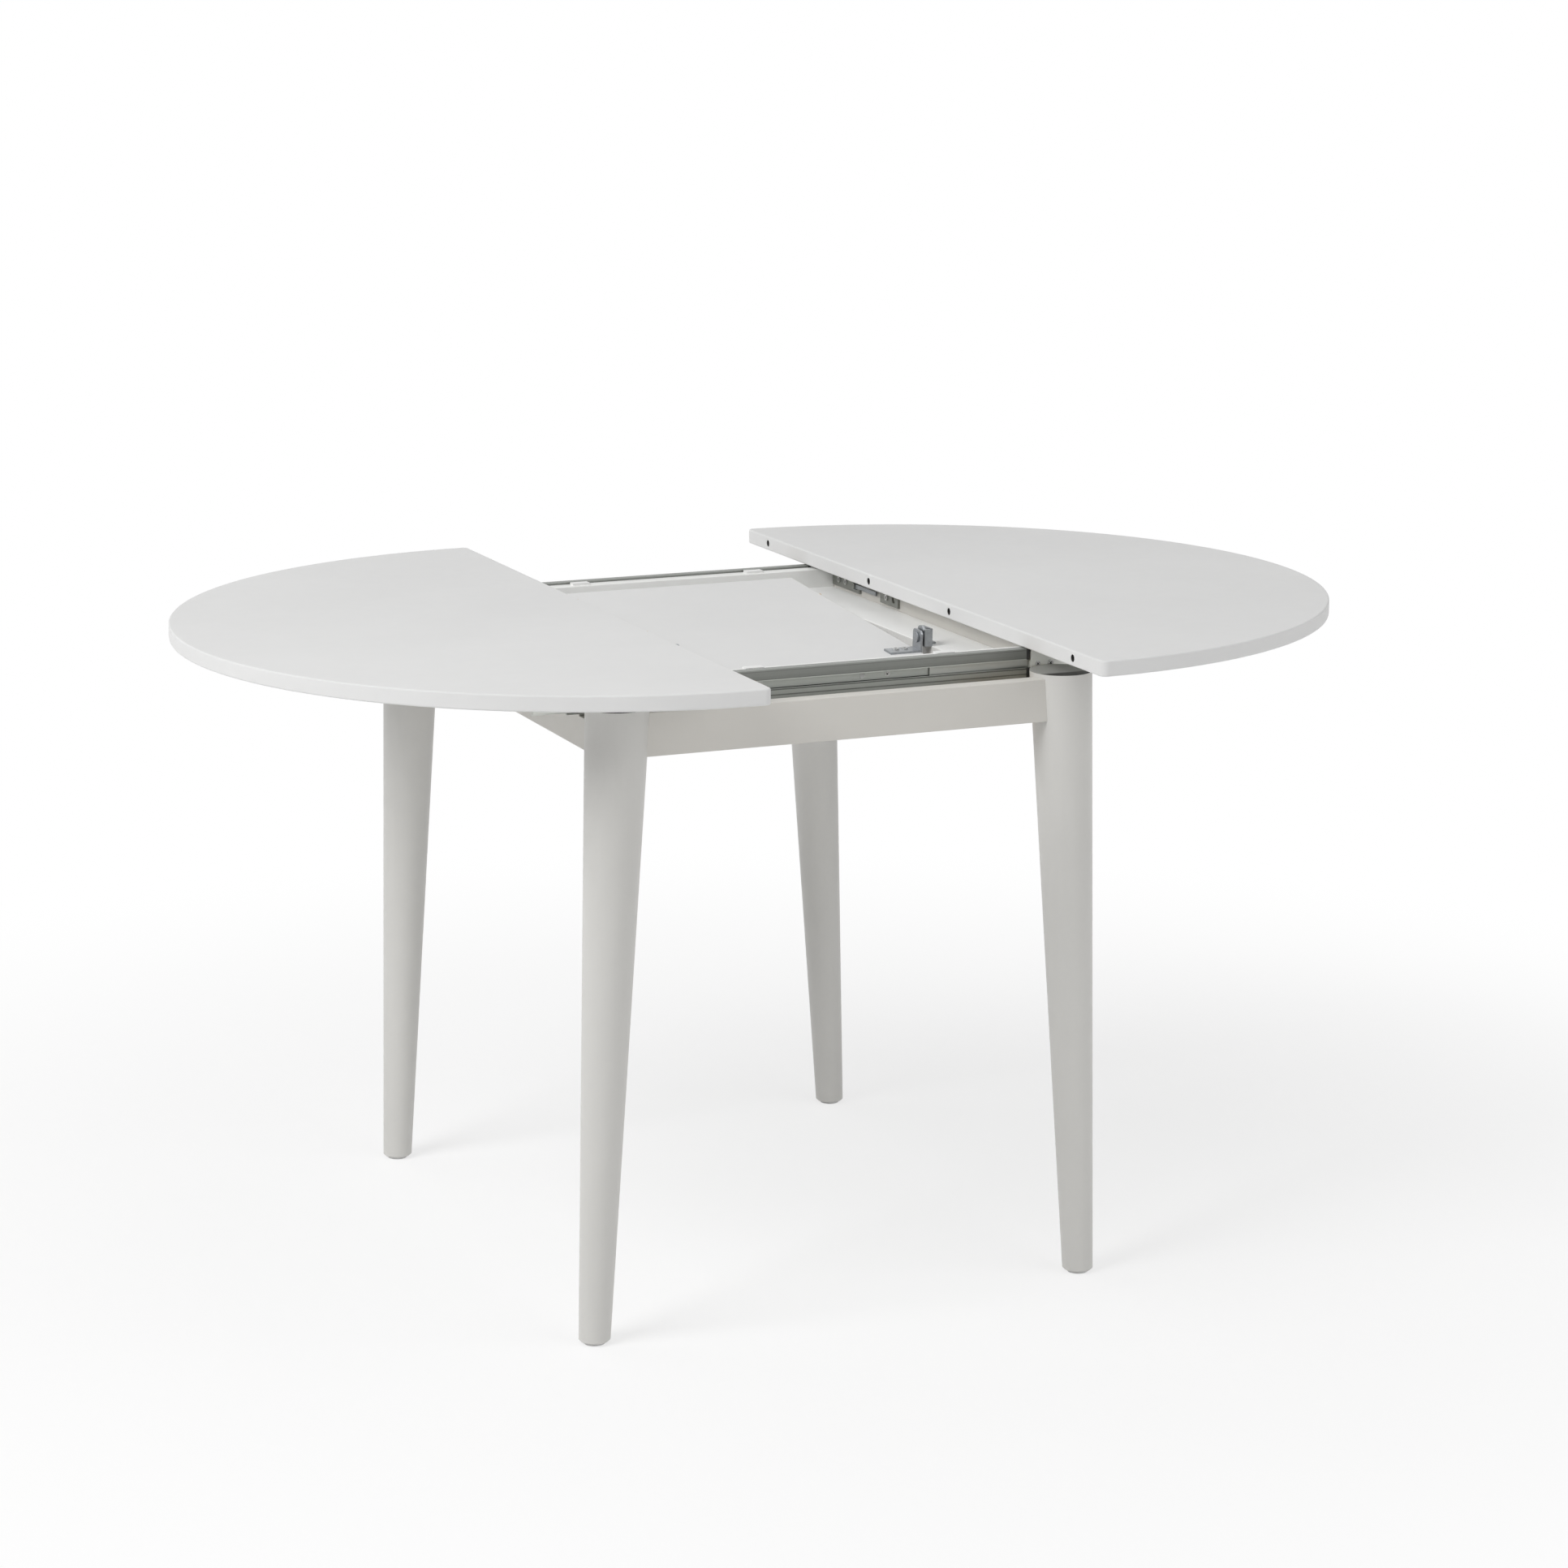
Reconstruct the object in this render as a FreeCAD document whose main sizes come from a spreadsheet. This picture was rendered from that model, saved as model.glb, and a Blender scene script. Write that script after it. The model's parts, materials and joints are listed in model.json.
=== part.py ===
import FreeCAD, Part
import math
import os
import re
import Sketcher

Vector = FreeCAD.Vector
Rotation = FreeCAD.Rotation

# Round extending table: two sliding half tops, a folding leaf in the well between them, and a legged base.
# Millimetres and degrees. X runs along the extension, Z is up, and the floor is Z = 0.
# The origin lies on the floor, midway between the two cut edges in the half-open position.
SIZES = {
    # tops
    "table_height": 750,
    "top_thickness": 18,
    "top_radius": 500,
    "top_corner_round": 8,
    "top_edge_round": 2,
    "half_gap": 193.5,
    # base, whose centre stands to the left of the origin
    "base_offset": 48,
    "leg_top_x": 265.2,
    "leg_stand": 71.5,
    "leg_foot_x": 299.3,
    "leg_splay": 1,
    "leg_drop": 19,
    "leg_top_radius": 35.2,
    "leg_foot_radius": 17.7,
    "leg_foot_round": 2,
    "glide_height": 3,
    "glide_radius": 12,
    "board_thickness": 18,
    "board_round": 1.2,
    "apron_drop": 24,
    "apron_height": 48.5,
    "apron_reach": 19,
    "end_apron_reach": 24,
    "end_apron_gap": 2,
    "well_clear": 35,
    "rail_height": 45,
    "rail_drop": 3,
    "block_leg": 110,
    "block_height": 22,
    "block_drop": 2,
    "bolt_radius": 4,
    "bolt_tail": 14,
    "bolt_depth": 26,
    "nut_radius": 7.5,
    "nut_height": 6.5,
    "washer_radius": 9,
    "washer_height": 1.6,
    "pad_length": 22,
    "pad_width": 12,
    "pad_gap": 0.3,
    "pad_spacing": 116,
    "front_pad_shift": 14,
    # telescopic slides
    "channel_half_length": 243,
    "channel_drop": 35,
    "channel_gap": 0.5,
    "channel_depth": 12,
    "slot_play": 0.75,
    "sheet": 1.5,
    "rib_height": 10,
    "rib_depth": 4.5,
    "slide_play": 0.4,
    "member_length": 230,
    "member_depth": 4.9,
    "member_start": 4,
    "band_depth": 0.5,
    "band_height": 9,
    "runner_length": 195,
    "runner_start": 6,
    "runner_neck": 8,
    "runner_gap": 1,
    "runner_plate": 2,
    "runner_lift": 6.5,
    "flange_width": 18,
    "button_radius": 3,
    "button_inset": 8.5,
    "button_middle": 43.5,
    "left_fixing_shift": 62,
    "channel_screw_middle": 74,
    "channel_screw_end": 190,
    "screw_radius": 1.8,
    "screw_head_radius": 3.8,
    "screw_head_height": 1.6,
    "screw_length": 13,
    "rivet_radius": 3.4,
    "rivet_height": 1.2,
    "rivet_inset": 8,
    "rivet_pitch": 16,
    "slot_radius": 2.2,
    # leaf
    "leaf_width": 300,
    "wing_round": 2,
    "fold_gap": 0.5,
    "leaf_tilt": 4.2,
    "pin_offset": 16,
    "pin_radius": 4,
    "pin_play": 0.05,
    "pin_head_radius": 6.2,
    "pin_head_height": 2,
    "collar_radius": 6,
    "side_play": 0.3,
    "bracket_sheet": 2.5,
    "bracket_length": 40,
    "bracket_width": 20,
    "ear_width": 22,
    "ear_top": 9,
    "ear_round": 5,
    "stand_gap": 2,
    "stand_width": 10,
    "stand_depth": 24,
    "stand_top": 13.5,
    "lug_radius": 9,
    "web_drop": 3.5,
    "cheek_lift": 3,
    "cheek_drop": 2.5,
    "stand_foot": 22,
    "foot_width": 10,
    "foot_lap": 1.5,
    "cross_board_drop": 26,
    "cross_board_gap": 11,
    # table hinges of the fold
    "hinge_spacing": 90,
    "hinge_knuckle": 10,
    "hinge_play": 0.2,
    "hinge_pin_depth": 2.5,
    "hinge_inset": 0.2,
    "hinge_pin_radius": 1.2,
    "hinge_sheet": 2,
    "hinge_reach": 24,
    "hinge_clear": 0.5,
    "link_web": 3,
    # edge dowels
    "dowel_radius": 4,
    "dowel_play": 0.3,
    "dowel_reach": 9,
    "dowel_depth": 16,
    "dowel_hole_depth": 12,
    "dowel_outer": 430,
    "dowel_inner": 114,
    # catch on the right end apron
    "catch_sheet": 3,
    "catch_height": 18,
    "catch_lift": 3.5,
    "catch_clear": 3,
    "catch_long": 82,
    "catch_gap": 62,
    "catch_short": 52,
    "lever_length": 66,
    "lever_height": 5,
    "lever_thickness": 2.5,
    "lever_hub_radius": 5.5,
    "lever_pin_radius": 2.5,
    "lever_inset": 11,
}
SHEET = "sizes"
HALVES = {"left": -1, "right": 1}
SIDES = {"front": -1, "back": 1}
DOWEL_PLACES = ("dowel_outer", "dowel_inner")

doc = FreeCAD.newDocument("butterfly_leaf_table")
sheet = doc.addObject("Spreadsheet::Sheet", SHEET)
for row, (alias, value) in enumerate(SIZES.items(), start=1):
    sheet.set(f"A{row}", alias)
    sheet.set(f"B{row}", str(value))
    sheet.setAlias(f"B{row}", alias)
doc.recompute()

sub_parts = []


# Expressions and shapes

def bound(text):
    """An expression in plain aliases, with each alias pointed at the sheet."""
    return re.sub(r"[a-z_]+", lambda m: f"{SHEET}.{m[0]}" if m[0] in SIZES else m[0], text)


def size(alias):
    return float(sheet.get(alias))


def sub_part(piece, label):
    """Marks an object as a finished piece of the table."""
    piece.Label = label
    sub_parts.append(piece)
    return piece


def box(name, x, y, z):
    """A box between pairs of expressions, low then high."""
    piece = doc.addObject("Part::Box", name)
    for axis, side, (low, high) in zip("xyz", ("Length", "Width", "Height"), (x, y, z)):
        piece.setExpression(f"Placement.Base.{axis}", bound(low))
        piece.setExpression(side, bound(f"({high}) - ({low})"))
    return piece


TURNS = {
    "x": Rotation(Vector(0, 1, 0), 90),
    "y": Rotation(Vector(1, 0, 0), -90),
    "z": Rotation(),
    "-x": Rotation(Vector(0, 1, 0), -90),
    "-y": Rotation(Vector(1, 0, 0), 90),
    "-z": Rotation(Vector(1, 0, 0), 180),
}


def rod(name, along, start, length, radius):
    """A cylinder from a start point along an axis."""
    piece = doc.addObject("Part::Cylinder", name)
    piece.Placement = FreeCAD.Placement(Vector(), TURNS[along])
    for axis, place in zip("xyz", start):
        piece.setExpression(f"Placement.Base.{axis}", bound(place))
    piece.setExpression("Height", bound(length))
    piece.setExpression("Radius", bound(radius))
    return piece


def fuse(name, pieces):
    whole = doc.addObject("Part::MultiFuse", name)
    whole.Shapes = pieces
    whole.Refine = True
    return whole


def group(name, pieces):
    """Separate solids kept together as one object."""
    whole = doc.addObject("Part::Compound", name)
    whole.Links = pieces
    return whole


def cut(name, base, tools):
    whole = doc.addObject("Part::Cut", name)
    whole.Base = base
    whole.Tool = tools[0] if len(tools) == 1 else group(f"{name}_tools", tools)
    return whole


def rounded(name, piece, alias):
    """All edges of a plain board eased by a small radius."""
    doc.recompute()
    eased = doc.addObject("Part::Fillet", name)
    eased.Base = piece
    radius = size(alias)
    eased.Edges = [(number + 1, radius, radius) for number in range(len(piece.Shape.Edges))]
    return eased


def board(name, x, y, z):
    return rounded(f"{name}_eased", box(f"{name}_blank", x, y, z), "board_round")


def sided(sign, low, high):
    """A pair of expressions on the positive side, or mirrored to the negative side."""
    return (low, high) if sign > 0 else (f"-({high})", f"-({low})")


def signed(sign, text):
    return f"({text})" if sign > 0 else f"-({text})"


def from_base(sign, text):
    """An X place measured outwards from the base's centre."""
    return f"-base_offset + {signed(sign, text)}"


def base_sided(sign, low, high):
    first, last = sided(sign, low, high)
    return f"-base_offset + {first}", f"-base_offset + {last}"


def screw(name, along, start, length="screw_length"):
    """A pan-head screw whose head sits on the start point, with its shank along the axis."""
    back = {"x": "-x", "-x": "x", "y": "-y", "-y": "y", "z": "-z", "-z": "z"}[along]
    head = rod(f"{name}_head", back, start, "screw_head_height", "screw_head_radius")
    shank = rod(f"{name}_shank", along, start, length, "screw_radius")
    return fuse(name, [head, shank])


# Heights and faces that several pieces share
TOP_UNDERSIDE = "table_height - top_thickness"
LEG_TOP = f"({TOP_UNDERSIDE} - leg_drop)"
CHANNEL_BOTTOM = f"({TOP_UNDERSIDE} - channel_drop)"
CHANNEL_TOP = f"({TOP_UNDERSIDE} - channel_gap)"
END_TOP = f"({CHANNEL_BOTTOM} - end_apron_gap)"
CROSS_TOP = f"({TOP_UNDERSIDE} - cross_board_drop)"
RAIL_FACE = "(top_radius / 2 + well_clear)"
LEG_TOP_Y = f"({RAIL_FACE} + leg_stand)"
APRON_FACE = f"{LEG_TOP_Y} + apron_reach"
APRON_BACK = f"{APRON_FACE} - board_thickness"
END_FACE = "leg_top_x + end_apron_reach"
END_BACK = f"{END_FACE} - board_thickness"
APRON_TOP = f"({TOP_UNDERSIDE} - apron_drop)"
APRON_BOTTOM = f"{APRON_TOP} - apron_height"
RAIL_TOP = f"{TOP_UNDERSIDE} - rail_drop"
RAIL_OUTER = f"{RAIL_FACE} + board_thickness"
CHANNEL_TIP = f"{RAIL_OUTER} + channel_depth"
CHANNEL_MIDDLE = f"({CHANNEL_BOTTOM} + {CHANNEL_TOP}) / 2"
RIB_FACE = f"{RAIL_OUTER} + rib_depth"


# Half tops with dowels and dowel holes in their cut edges

def half_top(half, sign):
    body = doc.addObject("PartDesign::Body", f"{half}_top_body")
    plane = next(f for f in body.Origin.OriginFeatures if f.Role == "XY_Plane")
    sketch = body.newObject("Sketcher::SketchObject", f"{half}_top_outline")
    sketch.AttachmentSupport = (plane, [""])
    sketch.MapMode = "FlatFace"
    radius = size("top_radius")
    start = -90 if sign > 0 else 90
    circle = Part.Circle(Vector(), Vector(0, 0, 1), radius)
    arc = sketch.addGeometry(Part.ArcOfCircle(circle, math.radians(start), math.radians(start + 180)))
    line = sketch.addGeometry(Part.LineSegment(Vector(0, sign * radius, 0), Vector(0, -sign * radius, 0)))
    sketch.addConstraint(Sketcher.Constraint("Coincident", arc, 3, -1, 1))
    sketch.addConstraint(Sketcher.Constraint("Coincident", arc, 2, line, 1))
    sketch.addConstraint(Sketcher.Constraint("Coincident", arc, 1, line, 2))
    sketch.addConstraint(Sketcher.Constraint("PointOnObject", arc, 1, -2))
    sketch.addConstraint(Sketcher.Constraint("PointOnObject", arc, 2, -2))
    number = sketch.addConstraint(Sketcher.Constraint("Radius", arc, radius))
    sketch.setExpression(f"Constraints[{number}]", bound("top_radius"))
    pad = body.newObject("PartDesign::Pad", f"{half}_top_board")
    pad.Profile = sketch
    pad.setExpression("Length", bound("top_thickness"))
    doc.recompute()
    corners = body.newObject("PartDesign::Fillet", f"{half}_top_corners")
    upright = [n for n, e in enumerate(pad.Shape.Edges, 1) if abs(e.tangentAt(e.FirstParameter).z) > 0.9]
    corners.Base = (pad, [f"Edge{n}" for n in upright])
    corners.setExpression("Radius", bound("top_corner_round"))
    doc.recompute()
    eased = body.newObject("PartDesign::Fillet", f"{half}_top_edges")
    level = [n for n, e in enumerate(corners.Shape.Edges, 1) if e.BoundBox.ZLength < 1e-6]
    eased.Base = (corners, [f"Edge{n}" for n in level])
    eased.setExpression("Radius", bound("top_edge_round"))
    body.setExpression("Placement.Base.x", bound(signed(sign, "half_gap")))
    body.setExpression("Placement.Base.z", bound(TOP_UNDERSIDE))
    return body


def dowel_rows(name, along, edge, depth, radius, places):
    """Cylinders at mid-thickness along a cut edge, one for each place."""
    height = f"{TOP_UNDERSIDE} + top_thickness / 2"
    return [rod(f"{name}_{n}", along, (edge, place, height), depth, radius) for n, place in enumerate(places)]


def both_ways(places):
    return [signed(side, place) for place in places for side in SIDES.values()]


dowel_spots = both_ways(DOWEL_PLACES)
left_sockets = dowel_rows("left_socket", "-x", "-half_gap", "dowel_depth", "dowel_radius", dowel_spots)
sub_part(cut("left_half", half_top("left", -1), left_sockets), "left_top")
left_dowels = dowel_rows("left_dowel", "x", "-half_gap - dowel_depth", "dowel_depth + dowel_reach",
                         "dowel_radius", dowel_spots)
sub_part(group("left_dowel_set", left_dowels), "left_dowels")
right_sockets = dowel_rows("right_socket", "x", "half_gap", "dowel_hole_depth", "dowel_radius + dowel_play",
                           dowel_spots)
sub_part(cut("right_half", half_top("right", 1), right_sockets), "right_top")


# Legs, splayed and tapered, each lofted between level circles

def leg(name, across, along):
    rings = []
    splay_x, splay_y = "(leg_foot_x - leg_top_x)", "leg_splay"
    taper = "(leg_top_radius - leg_foot_radius)"
    levels = (
        ("sole", "glide_height", "leg_foot_radius - leg_foot_round"),
        ("foot", "glide_height + leg_foot_round", f"leg_foot_radius + {taper} * leg_foot_round / {LEG_TOP}"),
        ("head", LEG_TOP, "leg_top_radius"),
    )
    for level, height, radius in levels:
        ring = doc.addObject("Part::Circle", f"{name}_{level}")
        rise = f"(1 - ({height}) / {LEG_TOP})"
        ring.setExpression("Placement.Base.x", bound(from_base(across, f"leg_top_x + {splay_x} * {rise}")))
        ring.setExpression("Placement.Base.y", bound(signed(along, f"{LEG_TOP_Y} + {splay_y} * {rise}")))
        ring.setExpression("Placement.Base.z", bound(height))
        ring.setExpression("Radius", bound(radius))
        rings.append(ring)
    whole = doc.addObject("Part::Loft", f"{name}_taper")
    whole.Sections = rings
    whole.Solid = True
    whole.Ruled = True
    return sub_part(whole, name)


legs = {(half, side): leg(f"{side}_{half}_leg", HALVES[half], SIDES[side])
        for half in HALVES for side in SIDES}
glides = []
for half, across in HALVES.items():
    for side, along in SIDES.items():
        rise = f"(1 - glide_height / {LEG_TOP})"
        spot = (from_base(across, f"leg_top_x + (leg_foot_x - leg_top_x) * {rise}"),
                signed(along, f"{LEG_TOP_Y} + leg_splay * {rise}"), "0")
        glides.append(rod(f"{half}_{side}_glide", "z", spot, "glide_height", "glide_radius"))
sub_part(group("glide_set", glides), "foot_glides")


# Aprons, coped to the round legs

for side, along in SIDES.items():
    blank = board(f"{side}_apron", ("-base_offset - leg_top_x", "-base_offset + leg_top_x"),
                  sided(along, APRON_BACK, APRON_FACE), (APRON_BOTTOM, APRON_TOP))
    sub_part(cut(f"{side}_apron_coped", blank, [legs["left", side], legs["right", side]]), f"{side}_apron")
for half, across in HALVES.items():
    x = base_sided(across, END_BACK, END_FACE)
    lower = board(f"{half}_apron", x, (f"-{LEG_TOP_Y}", LEG_TOP_Y), (APRON_BOTTOM, END_TOP))
    coped = cut(f"{half}_apron_coped", lower, [legs[half, "front"], legs[half, "back"]])
    upper = box(f"{half}_apron_upper", x, (f"-({RAIL_OUTER})", RAIL_OUTER),
                (f"{END_TOP} - board_round", RAIL_TOP))
    sub_part(fuse(f"{half}_apron_whole", [coped, upper]), f"{half}_apron")


# Well rails with white glide pads, and the flat boards beside the leaf

pads = []
for side, along in SIDES.items():
    sub_part(board(f"{side}_rail", (f"-base_offset - ({END_BACK})", f"-base_offset + {END_BACK}"),
                   sided(along, RAIL_FACE, RAIL_OUTER), (f"{RAIL_TOP} - rail_height", RAIL_TOP)),
             f"{side}_rail")
    middle = f"{RAIL_FACE} + board_thickness / 2"
    for half, across in HALVES.items():
        x = f"{signed(across, 'pad_spacing')}"
        if side == "front":
            x = f"{x} - front_pad_shift"
        pad = box(f"{side}_{half}_pad", (f"{x} - pad_length / 2", f"{x} + pad_length / 2"),
                  sided(along, f"{middle} - pad_width / 2", f"{middle} + pad_width / 2"),
                  (RAIL_TOP, f"{TOP_UNDERSIDE} - pad_gap"))
        pads.append(pad)
sub_part(group("pad_set", pads), "glide_pads")
for half, across in HALVES.items():
    inner = signed(across, "leaf_width / 2 + cross_board_gap")
    outer = from_base(across, END_BACK)
    x = (inner, outer) if across > 0 else (outer, inner)
    sub_part(board(f"{half}_cross_board", x, (f"-{RAIL_FACE}", RAIL_FACE),
                   (f"{CROSS_TOP} - board_thickness", CROSS_TOP)), f"{half}_cross_board")


# Corner blocks with hanger bolts and nuts that draw the legs in

BLOCK_LOW = f"{APRON_BOTTOM} + block_drop"
BOLT_Z = f"{BLOCK_LOW} + block_height / 2"
BOLT_RISE = f"(1 - ({BOLT_Z}) / {LEG_TOP})"
BOLT_LEG_X = f"leg_top_x + (leg_foot_x - leg_top_x) * {BOLT_RISE}"
BOLT_LEG_Y = f"{LEG_TOP_Y} + leg_splay * {BOLT_RISE}"
# Distance from the leg's axis to the block's long face, along the diagonal
SEAT = f"((block_leg - ({END_BACK}) - ({APRON_BACK}) + {BOLT_LEG_X} + {BOLT_LEG_Y}) / sqrt(2))"
# Turn of each corner's inward diagonal
DIAGONALS = {(1, 1): 225, (-1, 1): 315, (-1, -1): 45, (1, -1): 135}


def corner_block(half, across, side, along):
    """A block in the corner of the aprons, cut off on the diagonal that faces the table's middle."""
    square = box(f"{half}_{side}_block_square", base_sided(across, f"{END_BACK} - block_leg", END_BACK),
                 sided(along, f"{APRON_BACK} - block_leg", APRON_BACK),
                 (BLOCK_LOW, f"{BLOCK_LOW} + block_height"))
    waste = doc.addObject("Part::Box", f"{half}_{side}_block_waste")
    waste.Placement = FreeCAD.Placement(Vector(), Rotation(Vector(0, 0, 1), DIAGONALS[across, along] - 90))
    ends = ((END_BACK, f"{APRON_BACK} - block_leg"), (f"{END_BACK} - block_leg", APRON_BACK))
    start_x, start_y = ends[0] if across == along else ends[1]
    waste.setExpression("Placement.Base.x", bound(from_base(across, start_x)))
    waste.setExpression("Placement.Base.y", bound(signed(along, start_y)))
    waste.setExpression("Placement.Base.z", bound(BLOCK_LOW))
    waste.setExpression("Length", bound("block_leg * sqrt(2)"))
    waste.setExpression("Width", bound("block_leg"))
    waste.setExpression("Height", bound("block_height"))
    return cut(f"{half}_{side}_block", square, [waste, legs[half, side]])


def diagonal(kind, name, across, along, distance):
    """A round or six-sided bar on the corner's diagonal, from a distance inwards of the leg's axis."""
    piece = doc.addObject(kind, name)
    piece.Placement = FreeCAD.Placement(Vector(), Rotation(Vector(0, 0, 1), Vector(-across, -along, 0)))
    piece.setExpression("Placement.Base.x",
                        bound(from_base(across, f"{BOLT_LEG_X} - ({distance}) / sqrt(2)")))
    piece.setExpression("Placement.Base.y", bound(signed(along, f"{BOLT_LEG_Y} - ({distance}) / sqrt(2)")))
    piece.setExpression("Placement.Base.z", bound(BOLT_Z))
    return piece


def bolt_pieces(half, across, side, along):
    """A bolt on the diagonal through the block into the leg, with its washer and nut."""
    bolt = diagonal("Part::Cylinder", f"{half}_{side}_bolt", across, along, "-bolt_depth")
    bolt.setExpression("Height", bound(f"bolt_depth + {SEAT} + bolt_tail"))
    bolt.setExpression("Radius", bound("bolt_radius"))
    washer = diagonal("Part::Cylinder", f"{half}_{side}_washer", across, along, SEAT)
    washer.setExpression("Height", bound("washer_height"))
    washer.setExpression("Radius", bound("washer_radius"))
    nut = diagonal("Part::Prism", f"{half}_{side}_nut", across, along, f"{SEAT} + washer_height")
    nut.Polygon = 6
    nut.setExpression("Circumradius", bound("nut_radius"))
    nut.setExpression("Height", bound("nut_height"))
    return bolt, fuse(f"{half}_{side}_nut_set", [washer, nut])


blocks, bolts, nuts = [], [], []
for half, across in HALVES.items():
    for side, along in SIDES.items():
        blocks.append(corner_block(half, across, side, along))
        bolt, nut = bolt_pieces(half, across, side, along)
        bolts.append(bolt)
        nuts.append(nut)
sub_part(group("block_set", blocks), "corner_blocks")
sub_part(group("bolt_set", bolts), "hanger_bolts")
sub_part(group("nut_set", nuts), "leg_nuts")


# Telescopic slides: a fixed channel, a middle member for each half, and the runners under the tops

SLOT_HALF = "(runner_neck / 2 + slot_play)"
buttons, channel_screws = [], []
for side, along in SIDES.items():
    x = ("-base_offset - channel_half_length", "-base_offset + channel_half_length")
    tip = sided(along, f"{CHANNEL_TIP} - sheet", CHANNEL_TIP)
    deep = sided(along, RAIL_OUTER, CHANNEL_TIP)
    walls = [
        box(f"{side}_channel_web", x, sided(along, RAIL_OUTER, f"{RAIL_OUTER} + sheet"),
            (CHANNEL_BOTTOM, CHANNEL_TOP)),
        box(f"{side}_channel_floor", x, deep, (CHANNEL_BOTTOM, f"{CHANNEL_BOTTOM} + sheet")),
        box(f"{side}_channel_roof", x, deep, (f"{CHANNEL_TOP} - sheet", CHANNEL_TOP)),
        box(f"{side}_channel_low_lip", x, tip, (CHANNEL_BOTTOM, f"{CHANNEL_MIDDLE} - {SLOT_HALF}")),
        box(f"{side}_channel_high_lip", x, tip, (f"{CHANNEL_MIDDLE} + {SLOT_HALF}", CHANNEL_TOP)),
        box(f"{side}_channel_rib", x, sided(along, RAIL_OUTER, RIB_FACE),
            (f"{CHANNEL_MIDDLE} - rib_height / 2", f"{CHANNEL_MIDDLE} + rib_height / 2")),
    ]
    sub_part(fuse(f"{side}_channel_profile", walls), f"{side}_channel")
    inwards = "-y" if along > 0 else "y"
    for half, across in HALVES.items():
        further = " + left_fixing_shift" if half == "left" else ""
        for n, place in enumerate((f"button_middle{further}", "channel_half_length - button_inset")):
            spot = (from_base(across, place), signed(along, f"{RIB_FACE} + slide_play / 2"), CHANNEL_MIDDLE)
            buttons.append(rod(f"{side}_{half}_button_{n}", inwards, spot, "rib_depth", "button_radius"))
        for n, place in enumerate((f"channel_screw_middle{further}", "channel_screw_end")):
            spot = (from_base(across, place), signed(along, f"{RIB_FACE} + slide_play / 2"), CHANNEL_MIDDLE)
            channel_screws.append(rod(f"{side}_{half}_channel_screw_{n}", inwards, spot,
                                      "rib_depth + screw_length",
                                      "screw_head_radius / 2 + screw_radius / 2"))
sub_part(group("button_set", buttons), "stop_buttons")
sub_part(group("channel_screw_set", channel_screws), "channel_screws")

MEMBER_BACK = f"{RIB_FACE} + slide_play"
MEMBER_FACE = f"{MEMBER_BACK} + sheet"
BAND_FACE = f"{MEMBER_FACE} + band_depth"
MEMBER_LOW = f"{CHANNEL_BOTTOM} + sheet + slide_play"
MEMBER_HIGH = f"{CHANNEL_TOP} - sheet - slide_play"
RUNNER_BACK = f"{BAND_FACE} + slide_play"
RUNNER_PLATE_BACK = f"{CHANNEL_TIP} + runner_gap"
RUNNER_PLATE_FACE = f"{RUNNER_PLATE_BACK} + runner_plate"
# How far each half stands out from its closed place
OUT = {"left": "(half_gap - base_offset)", "right": "(half_gap + base_offset)"}


def slide_member(half, across, side, along):
    shift = f"member_start + {OUT[half]} / 2"
    x = base_sided(across, shift, f"{shift} + member_length")
    deep = sided(along, MEMBER_BACK, f"{MEMBER_BACK} + member_depth")
    walls = [
        box(f"{half}_{side}_member_web", x, sided(along, MEMBER_BACK, MEMBER_FACE),
            (MEMBER_LOW, MEMBER_HIGH)),
        box(f"{half}_{side}_member_floor", x, deep, (MEMBER_LOW, f"{MEMBER_LOW} + sheet")),
        box(f"{half}_{side}_member_roof", x, deep, (f"{MEMBER_HIGH} - sheet", MEMBER_HIGH)),
        box(f"{half}_{side}_member_band", x, sided(along, MEMBER_BACK, BAND_FACE),
            (f"{CHANNEL_MIDDLE} - band_height / 2", f"{CHANNEL_MIDDLE} + band_height / 2")),
    ]
    return sub_part(fuse(f"{half}_{side}_member", walls), f"{half}_slide_{side}")


def runner(half, across, side, along):
    start = f"runner_start + {OUT[half]}"
    x = base_sided(across, start, f"{start} + runner_length")
    low = f"{MEMBER_LOW} + sheet + slide_play"
    high = f"{MEMBER_HIGH} - sheet - slide_play"
    walls = [
        box(f"{half}_{side}_runner_inner", x, sided(along, RUNNER_BACK, f"{RUNNER_BACK} + sheet"),
            (low, high)),
        box(f"{half}_{side}_runner_neck", x, sided(along, RUNNER_BACK, RUNNER_PLATE_FACE),
            (f"{CHANNEL_MIDDLE} - runner_neck / 2", f"{CHANNEL_MIDDLE} + runner_neck / 2")),
        box(f"{half}_{side}_runner_plate", x, sided(along, RUNNER_PLATE_BACK, RUNNER_PLATE_FACE),
            (f"{CHANNEL_BOTTOM} + runner_lift", TOP_UNDERSIDE)),
        box(f"{half}_{side}_runner_flange", x,
            sided(along, RUNNER_PLATE_BACK, f"{RUNNER_PLATE_FACE} + flange_width"),
            (f"{TOP_UNDERSIDE} - sheet", TOP_UNDERSIDE)),
    ]
    profile = fuse(f"{half}_{side}_runner_profile", walls)
    inwards = "-y" if along > 0 else "y"
    holes = []
    for n in range(2):
        place = f"{start} + rivet_inset + {2 + n} * rivet_pitch"
        spot = (from_base(across, place), signed(along, RUNNER_PLATE_FACE),
                f"{CHANNEL_MIDDLE} + runner_neck")
        holes.append(rod(f"{half}_{side}_slot_{n}", inwards, spot, "runner_plate", "slot_radius"))
    return sub_part(cut(f"{half}_{side}_runner", profile, holes), f"{half}_runner_{side}")


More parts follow.
